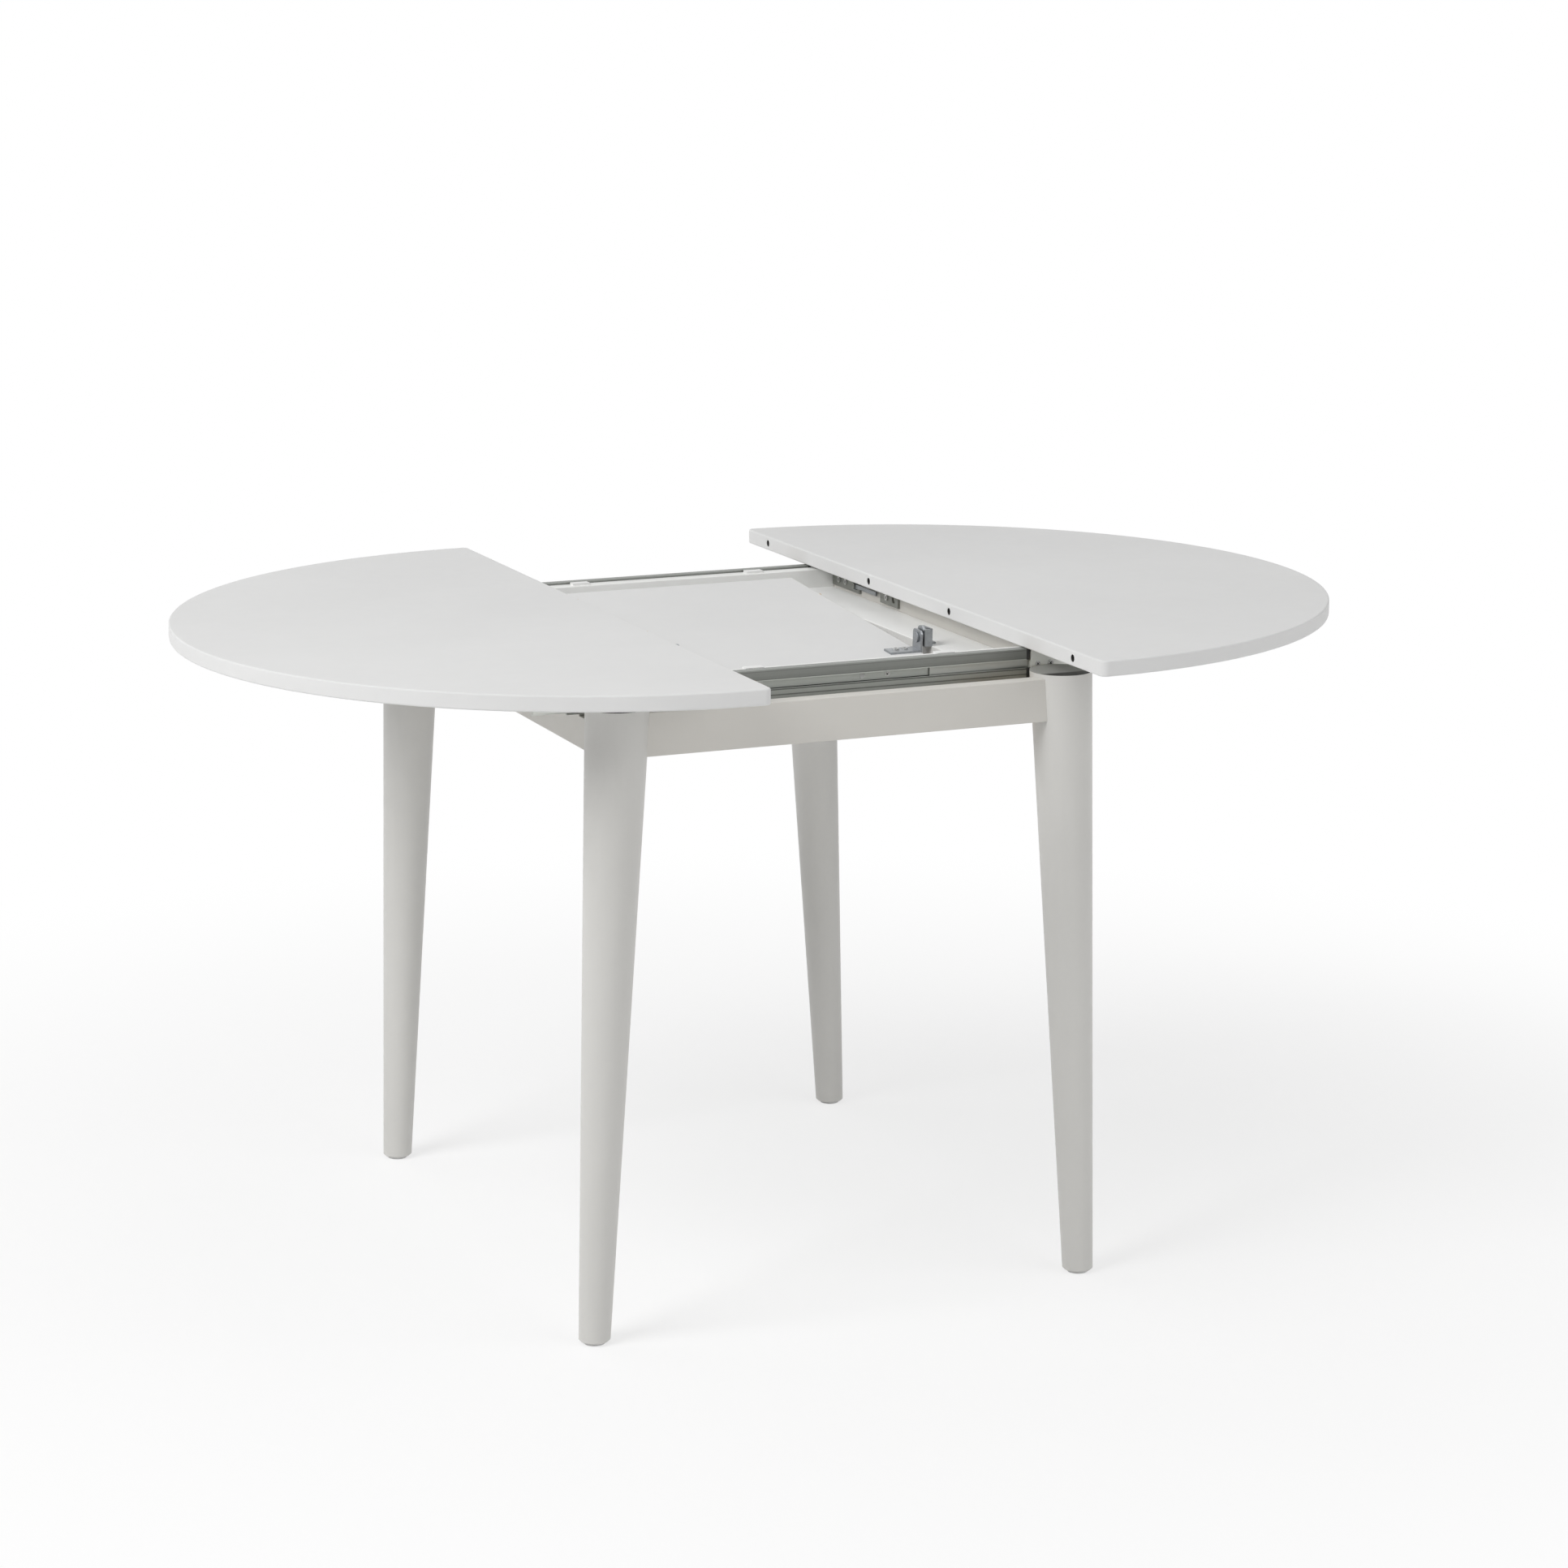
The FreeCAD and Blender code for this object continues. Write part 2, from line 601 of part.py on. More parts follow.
def runner_fasteners(half, across, side, along):
    """Screws up into the top through the flange, and rivet heads on the plate's outer face."""
    start = f"runner_start + {OUT[half]}"
    pieces = []
    for n in range(3):
        place = f"{start} + runner_length * {2 * n + 1} / 6"
        spot = (from_base(across, place), signed(along, f"{RUNNER_PLATE_FACE} + flange_width / 2"),
                f"{TOP_UNDERSIDE} - sheet")
        pieces.append(screw(f"{half}_{side}_runner_screw_{n}", "z", spot))
    outwards = "y" if along > 0 else "-y"
    for n in range(2):
        spot = (from_base(across, f"{start} + rivet_inset + {n} * rivet_pitch"),
                signed(along, RUNNER_PLATE_FACE), CHANNEL_MIDDLE)
        pieces.append(rod(f"{half}_{side}_rivet_{n}", outwards, spot, "rivet_height", "rivet_radius"))
    return pieces


for half, across in HALVES.items():
    fasteners = []
    for side, along in SIDES.items():
        slide_member(half, across, side, along)
        runner(half, across, side, along)
        fasteners += runner_fasteners(half, across, side, along)
    sub_part(group(f"{half}_runner_fasteners", fasteners), f"{half}_runner_screws")


# Leaf, drawn about its pivot as it lies flat in the well, then tipped up by its resting tilt.
# Local Y is measured from the pivot towards the back, and local Z up from the pivot.

PIVOT_REACH = "(top_radius / 4)"
PIVOT_Y = f"-{PIVOT_REACH}"
PIVOT_Z = f"{TOP_UNDERSIDE} - pin_offset"
WING_EDGE = f"(-{PIVOT_REACH} + fold_gap / 2)"
WING_END = f"(-{PIVOT_REACH} + top_radius)"
FOLD_Y = f"({WING_EDGE} + hinge_pin_depth)"
KNUCKLE = "(hinge_pin_depth - hinge_inset)"


def on_leaf(piece, label):
    """Sets a finished leaf piece at the pivot, tipped by the resting tilt."""
    piece.Placement = FreeCAD.Placement(Vector(), Rotation(Vector(1, 0, 0), size("leaf_tilt")))
    piece.setExpression("Placement.Base.y", bound(PIVOT_Y))
    piece.setExpression("Placement.Base.z", bound(PIVOT_Z))
    return sub_part(piece, label)


# The front wing lies face down on top, and the back wing face up under it
FRONT_FACE = "(-pin_offset - top_thickness)"
FACES = {"front": FRONT_FACE, "back": f"({FRONT_FACE} - fold_gap)"}
UPWARDS = {"front": 1, "back": -1}
HINGE_SPOTS = ("-hinge_spacing", "hinge_spacing")
WING_DOWELS = [f"-{PIVOT_REACH} + {place}" for place in DOWEL_PLACES]


def below_face(wing, depth):
    """A height at some depth under a wing's table face."""
    return f"{FACES[wing]} + {depth}" if UPWARDS[wing] > 0 else f"{FACES[wing]} - ({depth})"


def depths(wing, low, high):
    ends = [below_face(wing, low), below_face(wing, high)]
    return tuple(ends[::UPWARDS[wing]])


def wing_board(wing):
    blank = rounded(f"{wing}_wing_eased",
                    box(f"{wing}_wing_blank", ("-leaf_width / 2", "leaf_width / 2"), (WING_EDGE, WING_END),
                        depths(wing, "0", "top_thickness")), "wing_round")
    tools = []
    for n, spot in enumerate(HINGE_SPOTS):
        wide = "(hinge_knuckle * 1.5 + hinge_play)"
        x = (f"{spot} - {wide}", f"{spot} + {wide}")
        reach = f"{KNUCKLE} + hinge_clear"
        plate_seat = box(f"{wing}_plate_seat_{n}", x, (WING_EDGE, f"{WING_EDGE} + hinge_reach + hinge_play"),
                         depths(wing, "-fold_gap / 4", "hinge_inset + hinge_sheet"))
        knuckle_seat = box(f"{wing}_knuckle_seat_{n}", x,
                           (f"{WING_EDGE} - fold_gap / 4", f"{FOLD_Y} + {reach}"),
                           depths(wing, "-fold_gap / 4", f"hinge_pin_depth + {reach}"))
        tools.append(fuse(f"{wing}_hinge_seat_{n}", [plate_seat, knuckle_seat]))
    middle = below_face(wing, "top_thickness / 2")
    for n, place in enumerate(WING_DOWELS):
        tools.append(rod(f"{wing}_left_hole_{n}", "x", ("-leaf_width / 2", place, middle), "dowel_hole_depth",
                         "dowel_radius + dowel_play"))
        tools.append(rod(f"{wing}_right_socket_{n}", "-x", ("leaf_width / 2", place, middle), "dowel_depth",
                         "dowel_radius"))
    dowels = [rod(f"{wing}_dowel_{n}", "x", ("leaf_width / 2 - dowel_depth", place, middle),
                  "dowel_depth + dowel_reach", "dowel_radius") for n, place in enumerate(WING_DOWELS)]
    on_leaf(cut(f"{wing}_wing_board", blank, tools), f"{wing}_wing")
    on_leaf(group(f"{wing}_wing_dowel_set", dowels), f"{wing}_wing_dowels")


def hinge_bore(name, spot, wing):
    start = (f"{spot} - hinge_knuckle * 2", FOLD_Y, below_face(wing, "hinge_pin_depth"))
    return rod(name, "x", start, "hinge_knuckle * 4", "hinge_pin_radius + pin_play")


def knuckle(name, spot, offset, wing):
    """A hinge eye round a wing's fold pin."""
    low = f"{spot} + ({offset}) * hinge_knuckle - hinge_knuckle / 2 + hinge_play / 2"
    eye = rod(name, "x", (low, FOLD_Y, below_face(wing, "hinge_pin_depth")),
              "hinge_knuckle - hinge_play", KNUCKLE)
    return low, eye


def hinge_leaves(wing):
    """One leaf of each flap hinge: a plate let into the face, with two eyes round the fold pin."""
    leaves, screws, pins = [], [], []
    for n, spot in enumerate(HINGE_SPOTS):
        level = depths(wing, "hinge_inset", "hinge_inset + hinge_sheet")
        plate_front = f"{FOLD_Y} + {KNUCKLE} + hinge_clear"
        solids = [box(f"{wing}_hinge_plate_{n}",
                      (f"{spot} - hinge_knuckle * 1.5", f"{spot} + hinge_knuckle * 1.5"),
                      (plate_front, f"{WING_EDGE} + hinge_reach"), level)]
        for k, offset in enumerate((-1, 1)):
            low, eye = knuckle(f"{wing}_eye_{n}_{k}", spot, offset, wing)
            web = box(f"{wing}_eye_web_{n}_{k}", (low, f"{low} + hinge_knuckle - hinge_play"),
                      (FOLD_Y, f"{plate_front} + hinge_play"), level)
            solids += [eye, web]
        whole = fuse(f"{wing}_hinge_solid_{n}", solids)
        hole = hinge_bore(f"{wing}_hinge_bore_{n}", spot, wing)
        leaves.append(cut(f"{wing}_hinge_leaf_{n}", whole, [hole]))
        for k, offset in enumerate((-1, 1)):
            place = (f"{spot} + ({offset}) * hinge_knuckle", f"{WING_EDGE} + hinge_reach * 2 / 3",
                     below_face(wing, "hinge_inset"))
            inwards = "z" if UPWARDS[wing] > 0 else "-z"
            screws.append(rod(f"{wing}_hinge_screw_{n}_{k}", inwards, place, "screw_length", "screw_radius"))
        pins.append(rod(f"{wing}_fold_pin_{n}", "x",
                        (f"{spot} - hinge_knuckle * 1.5", FOLD_Y, below_face(wing, "hinge_pin_depth")),
                        "hinge_knuckle * 3", "hinge_pin_radius"))
    on_leaf(group(f"{wing}_hinge_leaf_set", leaves), f"{wing}_hinge_leaves")
    on_leaf(group(f"{wing}_hinge_screw_set", screws), f"{wing}_hinge_screws")
    on_leaf(group(f"{wing}_fold_pin_set", pins), f"{wing}_fold_pins")


for wing in FACES:
    wing_board(wing)
    hinge_leaves(wing)

# Links that join the two fold pins of each hinge
links = []
for n, spot in enumerate(HINGE_SPOTS):
    eyes = [knuckle(f"link_eye_{wing}_{n}", spot, 0, wing) for wing in FACES]
    low = eyes[0][0]
    web = box(f"link_web_{n}", (low, f"{low} + hinge_knuckle - hinge_play"),
              (f"{FOLD_Y} - link_web / 2", f"{FOLD_Y} + link_web / 2"),
              (below_face("back", "hinge_pin_depth"), below_face("front", "hinge_pin_depth")))
    bores = [hinge_bore(f"link_bore_{wing}_{n}", spot, wing) for wing in FACES]
    links.append(cut(f"fold_link_{n}", fuse(f"fold_link_solid_{n}", [eye for _, eye in eyes] + [web]), bores))
on_leaf(group("fold_link_set", links), "fold_links")


# Pivot of the leaf: brackets on the front wing, and pins in stands on the cross boards

EAR_OUTER = "leaf_width / 2"
EAR_INNER = f"{EAR_OUTER} - bracket_sheet"
STAND_INNER = f"{EAR_OUTER} + stand_gap"
STAND_OUTER = f"{STAND_INNER} + stand_width"
SOLE = (CROSS_TOP, f"{CROSS_TOP} + bracket_sheet")
bracket_screws, pivot_pins, stand_screws = [], [], []
for half, across in HALVES.items():
    surface = "-pin_offset"
    ear_x = sided(across, EAR_INNER, EAR_OUTER)
    outwards = "x" if across > 0 else "-x"
    plate = box(f"{half}_bracket_plate", sided(across, f"{EAR_OUTER} - bracket_length", EAR_OUTER),
                ("-ear_width / 2", "bracket_width - ear_width / 2"), (surface, f"{surface} + bracket_sheet"))
    shoulder = "ear_top - ear_round"
    corner = "(ear_width / 2 - ear_round)"
    ear = [
        box(f"{half}_bracket_ear", ear_x, ("-ear_width / 2", "ear_width / 2"), (surface, shoulder)),
        box(f"{half}_bracket_crown", ear_x, (f"-{corner}", corner), (surface, "ear_top")),
    ]
    ear += [rod(f"{half}_bracket_corner_{n}", outwards, (signed(across, EAR_INNER), place, shoulder),
                "bracket_sheet", "ear_round") for n, place in enumerate((f"-{corner}", corner))]
    bore = rod(f"{half}_bracket_bore", outwards, (signed(across, EAR_INNER), "0", "0"), "bracket_sheet",
               "pin_radius + pin_play")
    solid = fuse(f"{half}_bracket_solid", [plate] + ear)
    on_leaf(cut(f"{half}_bracket", solid, [bore]), f"{half}_leaf_bracket")
    for n in range(2):
        spot = (signed(across, f"{EAR_OUTER} - bracket_length * {2 * n + 3} / 7"),
                "bracket_width / 2 - ear_width / 2 + bracket_width / 8", f"{surface} + bracket_sheet")
        bracket_screws.append(screw(f"{half}_bracket_screw_{n}", "-z", spot))
    steps = (
        (f"{EAR_INNER} - side_play - pin_head_height", "pin_head_height", "pin_head_radius"),
        (f"{EAR_INNER} - side_play", "bracket_sheet + stand_gap + stand_width + 2 * side_play", "pin_radius"),
        (f"{EAR_OUTER} + side_play", "stand_gap - 2 * side_play", "collar_radius"),
        (f"{STAND_OUTER} + side_play", "pin_head_height", "pin_head_radius"),
    )
    rods = [rod(f"{half}_pivot_step_{n}", outwards, (signed(across, start), PIVOT_Y, PIVOT_Z), length, radius)
            for n, (start, length, radius) in enumerate(steps)]
    pivot_pins.append(fuse(f"{half}_pivot_pin", rods))
    front = f"{PIVOT_Y} - stand_depth / 2"
    back = f"{PIVOT_Y} + stand_depth / 2"
    lug_z = f"{PIVOT_Z} + stand_top - lug_radius"
    walls = [
        box(f"{half}_stand_lug", sided(across, STAND_INNER, f"{STAND_INNER} + bracket_sheet"),
            (front, f"{PIVOT_Y} + lug_radius"), (CROSS_TOP, lug_z)),
        rod(f"{half}_stand_crown", outwards, (signed(across, STAND_INNER), PIVOT_Y, lug_z), "bracket_sheet",
            "lug_radius"),
        box(f"{half}_stand_cheek", sided(across, f"{STAND_OUTER} - bracket_sheet", STAND_OUTER),
            (front, back),
            (f"{CROSS_TOP} + cheek_lift", f"{PIVOT_Z} + stand_top - cheek_drop")),
        box(f"{half}_stand_web", sided(across, STAND_INNER, STAND_OUTER), (front, f"{front} + bracket_sheet"),
            (CROSS_TOP, f"{PIVOT_Z} + stand_top - web_drop")),
        box(f"{half}_stand_sole", sided(across, STAND_INNER, STAND_OUTER), (front, back), SOLE),
        box(f"{half}_stand_foot", sided(across, f"{STAND_OUTER} - foot_lap", f"{STAND_OUTER} + foot_width"),
            (PIVOT_Y, f"{back} + stand_foot"), SOLE),
    ]
    stand = fuse(f"{half}_stand_walls", walls)
    hole = rod(f"{half}_stand_bore", outwards, (signed(across, STAND_INNER), PIVOT_Y, PIVOT_Z), "stand_width",
               "pin_radius + pin_play")
    sub_part(cut(f"{half}_stand", stand, [hole]), f"{half}_pivot_stand")
    for n in range(2):
        spot = (signed(across, f"{STAND_OUTER} + foot_width / 2"), f"{back} + stand_foot * {2 * n + 1} / 4",
                f"{CROSS_TOP} + bracket_sheet")
        stand_screws.append(screw(f"{half}_stand_screw_{n}", "-z", spot))
on_leaf(group("bracket_screw_set", bracket_screws), "bracket_screws")
sub_part(group("pivot_pin_set", pivot_pins), "leaf_pivot_pins")
sub_part(group("stand_screw_set", stand_screws), "stand_screws")


# Catch on the inner face of the right end apron: two plates, and a lever that bridges them

CATCH_X = f"-base_offset + {END_BACK}"
CATCH_FACE = f"{CATCH_X} - catch_sheet"
CATCH_Z = (f"{CROSS_TOP} + catch_lift", f"{CROSS_TOP} + catch_lift + catch_height")
CATCH_MIDDLE = f"{CROSS_TOP} + catch_lift + catch_height / 2"
CATCH_BACK = f"{RAIL_FACE} - catch_clear"
LONG_FRONT = f"{CATCH_BACK} - catch_long"
SHORT_BACK = f"{LONG_FRONT} - catch_gap"
SHORT_FRONT = f"{SHORT_BACK} - catch_short"
LEVER_Y = f"{LONG_FRONT} + lever_inset"
LEVER_FACE = f"{CATCH_FACE} - side_play"
LEVER_BACK = f"{LEVER_FACE} - lever_thickness"
long_plate = box("catch_long_plate", (CATCH_FACE, CATCH_X), (LONG_FRONT, CATCH_BACK), CATCH_Z)
lever_pin = rod("catch_pin", "-x", (CATCH_FACE, LEVER_Y, CATCH_MIDDLE), "lever_thickness + 3 * side_play",
                "lever_pin_radius")
pin_head = rod("catch_pin_head", "-x", (f"{LEVER_BACK} - side_play", LEVER_Y, CATCH_MIDDLE), "rivet_height",
               "lever_hub_radius - lever_pin_radius / 2")
sub_part(fuse("catch_plate_with_pin", [long_plate, lever_pin, pin_head]), "catch_plate")
short_plate = box("catch_short_plate", (CATCH_FACE, CATCH_X), (SHORT_FRONT, SHORT_BACK), CATCH_Z)
arch = rod("catch_arch", "x", (CATCH_FACE, f"{SHORT_FRONT} + catch_short / 4", CATCH_MIDDLE), "catch_sheet",
           "catch_height / 4")
sub_part(cut("catch_keeper_plate", short_plate, [arch]), "catch_keeper")
lever_bar = box("catch_lever_bar", (LEVER_BACK, LEVER_FACE), (f"{LEVER_Y} - lever_length", LEVER_Y),
                (f"{CATCH_MIDDLE} - lever_height / 2", f"{CATCH_MIDDLE} + lever_height / 2"))
lever_hub = rod("catch_lever_hub", "-x", (LEVER_FACE, LEVER_Y, CATCH_MIDDLE), "lever_thickness",
                "lever_hub_radius")
lever_bore = rod("catch_lever_bore", "-x", (LEVER_FACE, LEVER_Y, CATCH_MIDDLE), "lever_thickness",
                 "lever_pin_radius + pin_play")
lever_solid = fuse("catch_lever_solid", [lever_bar, lever_hub])
sub_part(cut("catch_lever_whole", lever_solid, [lever_bore]), "catch_lever")
catch_screws = []
for n, place in enumerate((f"{LONG_FRONT} + catch_long * 3 / 4", f"{LONG_FRONT} + catch_long / 2",
                           f"{SHORT_FRONT} + catch_short * 5 / 8")):
    catch_screws.append(screw(f"catch_screw_{n}", "x", (CATCH_FACE, place, CATCH_MIDDLE)))
sub_part(group("catch_screw_set", catch_screws), "catch_screws")


# Holes that the fasteners fill

HOLES = {
    "channel_screws": ("front_channel", "back_channel", "front_rail", "back_rail"),
    "stop_buttons": ("front_channel", "back_channel"),
    "hanger_bolts": ("front_left_leg", "front_right_leg", "back_left_leg", "back_right_leg", "corner_blocks",
                     "leg_nuts"),
    "front_hinge_screws": ("front_hinge_leaves", "front_wing"),
    "back_hinge_screws": ("back_hinge_leaves", "back_wing"),
    "bracket_screws": ("left_leaf_bracket", "right_leaf_bracket", "front_wing"),
    "stand_screws": ("left_pivot_stand", "right_pivot_stand", "left_cross_board", "right_cross_board"),
    "catch_screws": ("catch_plate", "catch_keeper", "right_apron"),
    "left_runner_screws": ("left_runner_front", "left_runner_back", "left_top"),
    "right_runner_screws": ("right_runner_front", "right_runner_back", "right_top"),
}
by_label = {piece.Label: piece for piece in sub_parts}
for fastener, holders in HOLES.items():
    for label in holders:
        whole = by_label[label]
        whole.Label = f"{label} before {fastener}"
        drilled = cut(f"{label}_for_{fastener}", whole, [by_label[fastener]])
        drilled.Label = label
        by_label[label] = drilled


# Check, then write every piece

doc.recompute()
faults = [thing.Name for thing in doc.Objects if {"Invalid", "Error"} & set(thing.State)]
faults += [piece.Label for piece in by_label.values() if piece.Shape.isNull() or not piece.Shape.isValid()]
if faults:
    raise RuntimeError(f"these objects failed: {', '.join(faults)}")
os.makedirs("parts", exist_ok=True)
for label, piece in by_label.items():
    piece.Shape.exportStep(f"parts/{label}.step")
print(f"{len(by_label)} pieces written")
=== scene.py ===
import json
import math

import bmesh
import bpy
from mathutils import Matrix, Vector


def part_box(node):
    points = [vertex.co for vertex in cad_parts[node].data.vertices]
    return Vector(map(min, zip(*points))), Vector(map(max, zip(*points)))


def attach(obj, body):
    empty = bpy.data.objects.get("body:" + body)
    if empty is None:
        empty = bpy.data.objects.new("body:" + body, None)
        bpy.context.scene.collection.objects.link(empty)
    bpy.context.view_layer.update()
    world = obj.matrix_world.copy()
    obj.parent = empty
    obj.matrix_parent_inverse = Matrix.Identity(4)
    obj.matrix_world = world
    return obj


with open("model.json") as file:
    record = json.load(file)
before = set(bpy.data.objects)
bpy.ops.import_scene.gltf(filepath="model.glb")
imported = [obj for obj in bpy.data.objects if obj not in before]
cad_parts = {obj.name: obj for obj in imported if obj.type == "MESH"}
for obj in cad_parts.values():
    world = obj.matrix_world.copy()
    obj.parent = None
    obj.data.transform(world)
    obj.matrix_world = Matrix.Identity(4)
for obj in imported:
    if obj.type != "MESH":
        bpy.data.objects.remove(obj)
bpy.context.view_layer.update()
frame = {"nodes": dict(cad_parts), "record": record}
nodes = frame["nodes"]
scene = bpy.context.scene

# Camera at the photograph's viewpoint
CAMERA_PLACE = (-1.7578, -4.1894, 1.5487)
CAMERA_YAW = math.radians(23.14)
CAMERA_PITCH = math.radians(12.67)
CAMERA_ROLL = math.radians(0.04)
CAMERA_REACH = 400
FOCAL_PIXELS = 4819.5
IMAGE_PIXELS = 1932
SENSOR_MM = 36.0


def looking(place, direction):
    """The placing of a camera or lamp that looks along a direction."""
    return Matrix.Translation(place) @ direction.to_track_quat("-Z", "Y").to_matrix().to_4x4()


def place_camera():
    data = bpy.data.cameras.new("camera")
    data.sensor_fit = "HORIZONTAL"
    data.sensor_width = SENSOR_MM
    data.lens = FOCAL_PIXELS / IMAGE_PIXELS * SENSOR_MM
    data.clip_end = CAMERA_REACH
    camera = bpy.data.objects.new("camera", data)
    scene.collection.objects.link(camera)
    level = math.cos(CAMERA_PITCH)
    forward = Vector((math.sin(CAMERA_YAW) * level, math.cos(CAMERA_YAW) * level, -math.sin(CAMERA_PITCH)))
    camera.matrix_world = looking(CAMERA_PLACE, forward) @ Matrix.Rotation(CAMERA_ROLL, 4, "Z")
    scene.camera = camera


# Node trees of the materials and the world

# Most of a noise pattern's values lie between these two
NOISE_LOW, NOISE_HIGH = 0.3, 0.7


class Tree:
    """A node tree, with short calls for what the world and the materials share."""

    def __init__(self, tree):
        self.tree = tree
        self.tree.nodes.clear()

    def add(self, kind, **settings):
        node = self.tree.nodes.new(kind)
        for key, value in settings.items():
            setattr(node, key, value)
        return node

    def join(self, source, target):
        self.tree.links.new(source, target)

    def math(self, operation, first, second=None):
        """A sum on one socket, or on a socket and another socket or number."""
        node = self.add("ShaderNodeMath", operation=operation)
        self.join(first, node.inputs[0])
        if isinstance(second, float):
            node.inputs[1].default_value = second
        elif second is not None:
            self.join(second, node.inputs[1])
        return node.outputs["Value"]

    def rescaled(self, value, source, target=(0.0, 1.0), kind="LINEAR"):
        """A value carried from one range to another."""
        node = self.add("ShaderNodeMapRange", interpolation_type=kind)
        for end, bounds in (("From", source), ("To", target)):
            node.inputs[f"{end} Min"].default_value = bounds[0]
            node.inputs[f"{end} Max"].default_value = bounds[1]
        self.join(value, node.inputs["Value"])
        return node.outputs["Result"]

    def seen(self):
        """1 for rays that show a surface, directly or in a reflection, and 0 for rays that light others."""
        path = self.add("ShaderNodeLightPath")
        rays = path.outputs["Is Camera Ray"]
        for kind in ("Is Glossy Ray", "Is Transmission Ray"):
            rays = self.math("MAXIMUM", rays, path.outputs[kind])
        return rays


class Finish(Tree):
    """A material, with short calls for the nodes that the finishes share."""

    def __init__(self, name):
        self.material = bpy.data.materials.new(name)
        self.material.use_nodes = True
        super().__init__(self.material.node_tree)
        self.out = self.add("ShaderNodeOutputMaterial")
        self.shader = self.add("ShaderNodeBsdfPrincipled")
        self.join(self.shader.outputs["BSDF"], self.out.inputs["Surface"])

    def constant(self, socket, value):
        self.shader.inputs[socket].default_value = value

    def coordinates(self):
        return self.add("ShaderNodeTexCoord").outputs["Object"]

    def geometry(self, output):
        return self.add("ShaderNodeNewGeometry").outputs[output]

    def axis(self, vector, name):
        """One part of a vector."""
        node = self.add("ShaderNodeSeparateXYZ")
        self.join(vector, node.inputs["Vector"])
        return node.outputs[name]

    def stretched(self, scale):
        """Object position, stretched along the axes, so that a pattern can run along a piece."""
        node = self.add("ShaderNodeMapping")
        node.inputs["Scale"].default_value = scale
        self.join(self.coordinates(), node.inputs["Vector"])
        return node.outputs["Vector"]

    def noise(self, scale, detail, roughness=0.5, vector=None):
        node = self.add("ShaderNodeTexNoise")
        node.inputs["Scale"].default_value = scale
        node.inputs["Detail"].default_value = detail
        node.inputs["Roughness"].default_value = roughness
        self.join(vector or self.coordinates(), node.inputs["Vector"])
        return node.outputs["Fac"]

    def ramp(self, factor, stops, blend="LINEAR"):
        node = self.add("ShaderNodeValToRGB")
        ramp = node.color_ramp
        ramp.interpolation = blend
        while len(ramp.elements) < len(stops):
            ramp.elements.new(0.5)
        for element, (place, color) in zip(ramp.elements, stops):
            element.position = place
            element.color = (*color, 1)
        self.join(factor, node.inputs["Fac"])
        return node.outputs["Color"]

    def mottled(self, factor, dark, light):
        """A tone that a noise pattern takes from dark to light."""
        return self.ramp(factor, [(NOISE_LOW, dark), (NOISE_HIGH, light)])

    def mixed(self, factor, first, second):
        """Two colours, the second where the factor is 1."""
        node = self.add("ShaderNodeMix", data_type="RGBA")
        self.join(factor, node.inputs["Factor"])
        self.join(first, node.inputs["A"])
        self.join(second, node.inputs["B"])
        return node.outputs["Result"]

    def multiplied(self, first, second):
        node = self.add("ShaderNodeMix", data_type="RGBA", blend_type="MULTIPLY")
        node.inputs["Factor"].default_value = 1.0
        self.join(first, node.inputs["A"])
        self.join(second, node.inputs["B"])
        return node.outputs["Result"]

    def bump(self, height, strength, distance, below=None):
        node = self.add("ShaderNodeBump")
        node.inputs["Strength"].default_value = strength
        node.inputs["Distance"].default_value = distance
        self.join(height, node.inputs["Height"])
        if below is not None:
            self.join(below, node.inputs["Normal"])
        return node.outputs["Normal"]

    def color(self, socket):
        self.join(socket, self.shader.inputs["Base Color"])

    def rough(self, pattern, middle, spread):
        """Roughness that drifts about a middle value, as a noise pattern goes."""
        ends = (middle + spread[0], middle + spread[1])
        value = self.rescaled(pattern, (NOISE_LOW, NOISE_HIGH), ends)
        self.join(value, self.shader.inputs["Roughness"])

    def normal(self, socket):
        self.join(socket, self.shader.inputs["Normal"])


def shade(color, share):
    """A colour made darker or lighter, up to white."""
    return tuple(min(1.0, c * share) for c in color)


# Paint

PAINT_DRIFT, PAINT_SHEEN = 0.02, (-0.05, 0.06)
CLOUD_SCALE, SHEEN_SCALE = 3.5, 60
PEEL_SCALE, PEEL_STRENGTH, PEEL_DEPTH = 420, 0.25, 0.00004
WAVE_SCALE, WAVE_STRENGTH, WAVE_DEPTH = 9, 0.12, 0.0003

LEG_AXIS_Y = 0.3565
LEG_RADIUS = 0.0352
# Tones of the painted shade on a leg's upper end, from the side towards the well to the side towards the
# outside
LEG_END_SHADE_TONES = [(0.0, (0.34, 0.342, 0.322)), (0.66, (0.30, 0.302, 0.285)),
                 (0.74, (0.02, 0.019, 0.017)), (1.0, (0.012, 0.011, 0.010))]
FACING_UP = 0.9
FACING_SIDEWAYS = 0.7
# Painted shade on the boards' long edges: the scale of its mottle and the share of its darker tone
EDGE_SHADE_SCALE, EDGE_SHADE_DARK = 700, 0.85


def sprayed_tone(n, base):
    """The tone of sprayed paint, which drifts a little over a surface."""
    clouds = n.noise(CLOUD_SCALE, detail=4, roughness=0.6)
    return n.mottled(clouds, shade(base, 1 - PAINT_DRIFT), shade(base, 1 + PAINT_DRIFT))


def sprayed_surface(n, roughness):
    """A fine orange peel on slight waves, and a drift of gloss."""
    n.rough(n.noise(SHEEN_SCALE, detail=3), roughness, PAINT_SHEEN)
    peel = n.bump(n.noise(PEEL_SCALE, detail=2), PEEL_STRENGTH, PEEL_DEPTH)
    n.normal(n.bump(n.noise(WAVE_SCALE, detail=2), WAVE_STRENGTH, WAVE_DEPTH, peel))


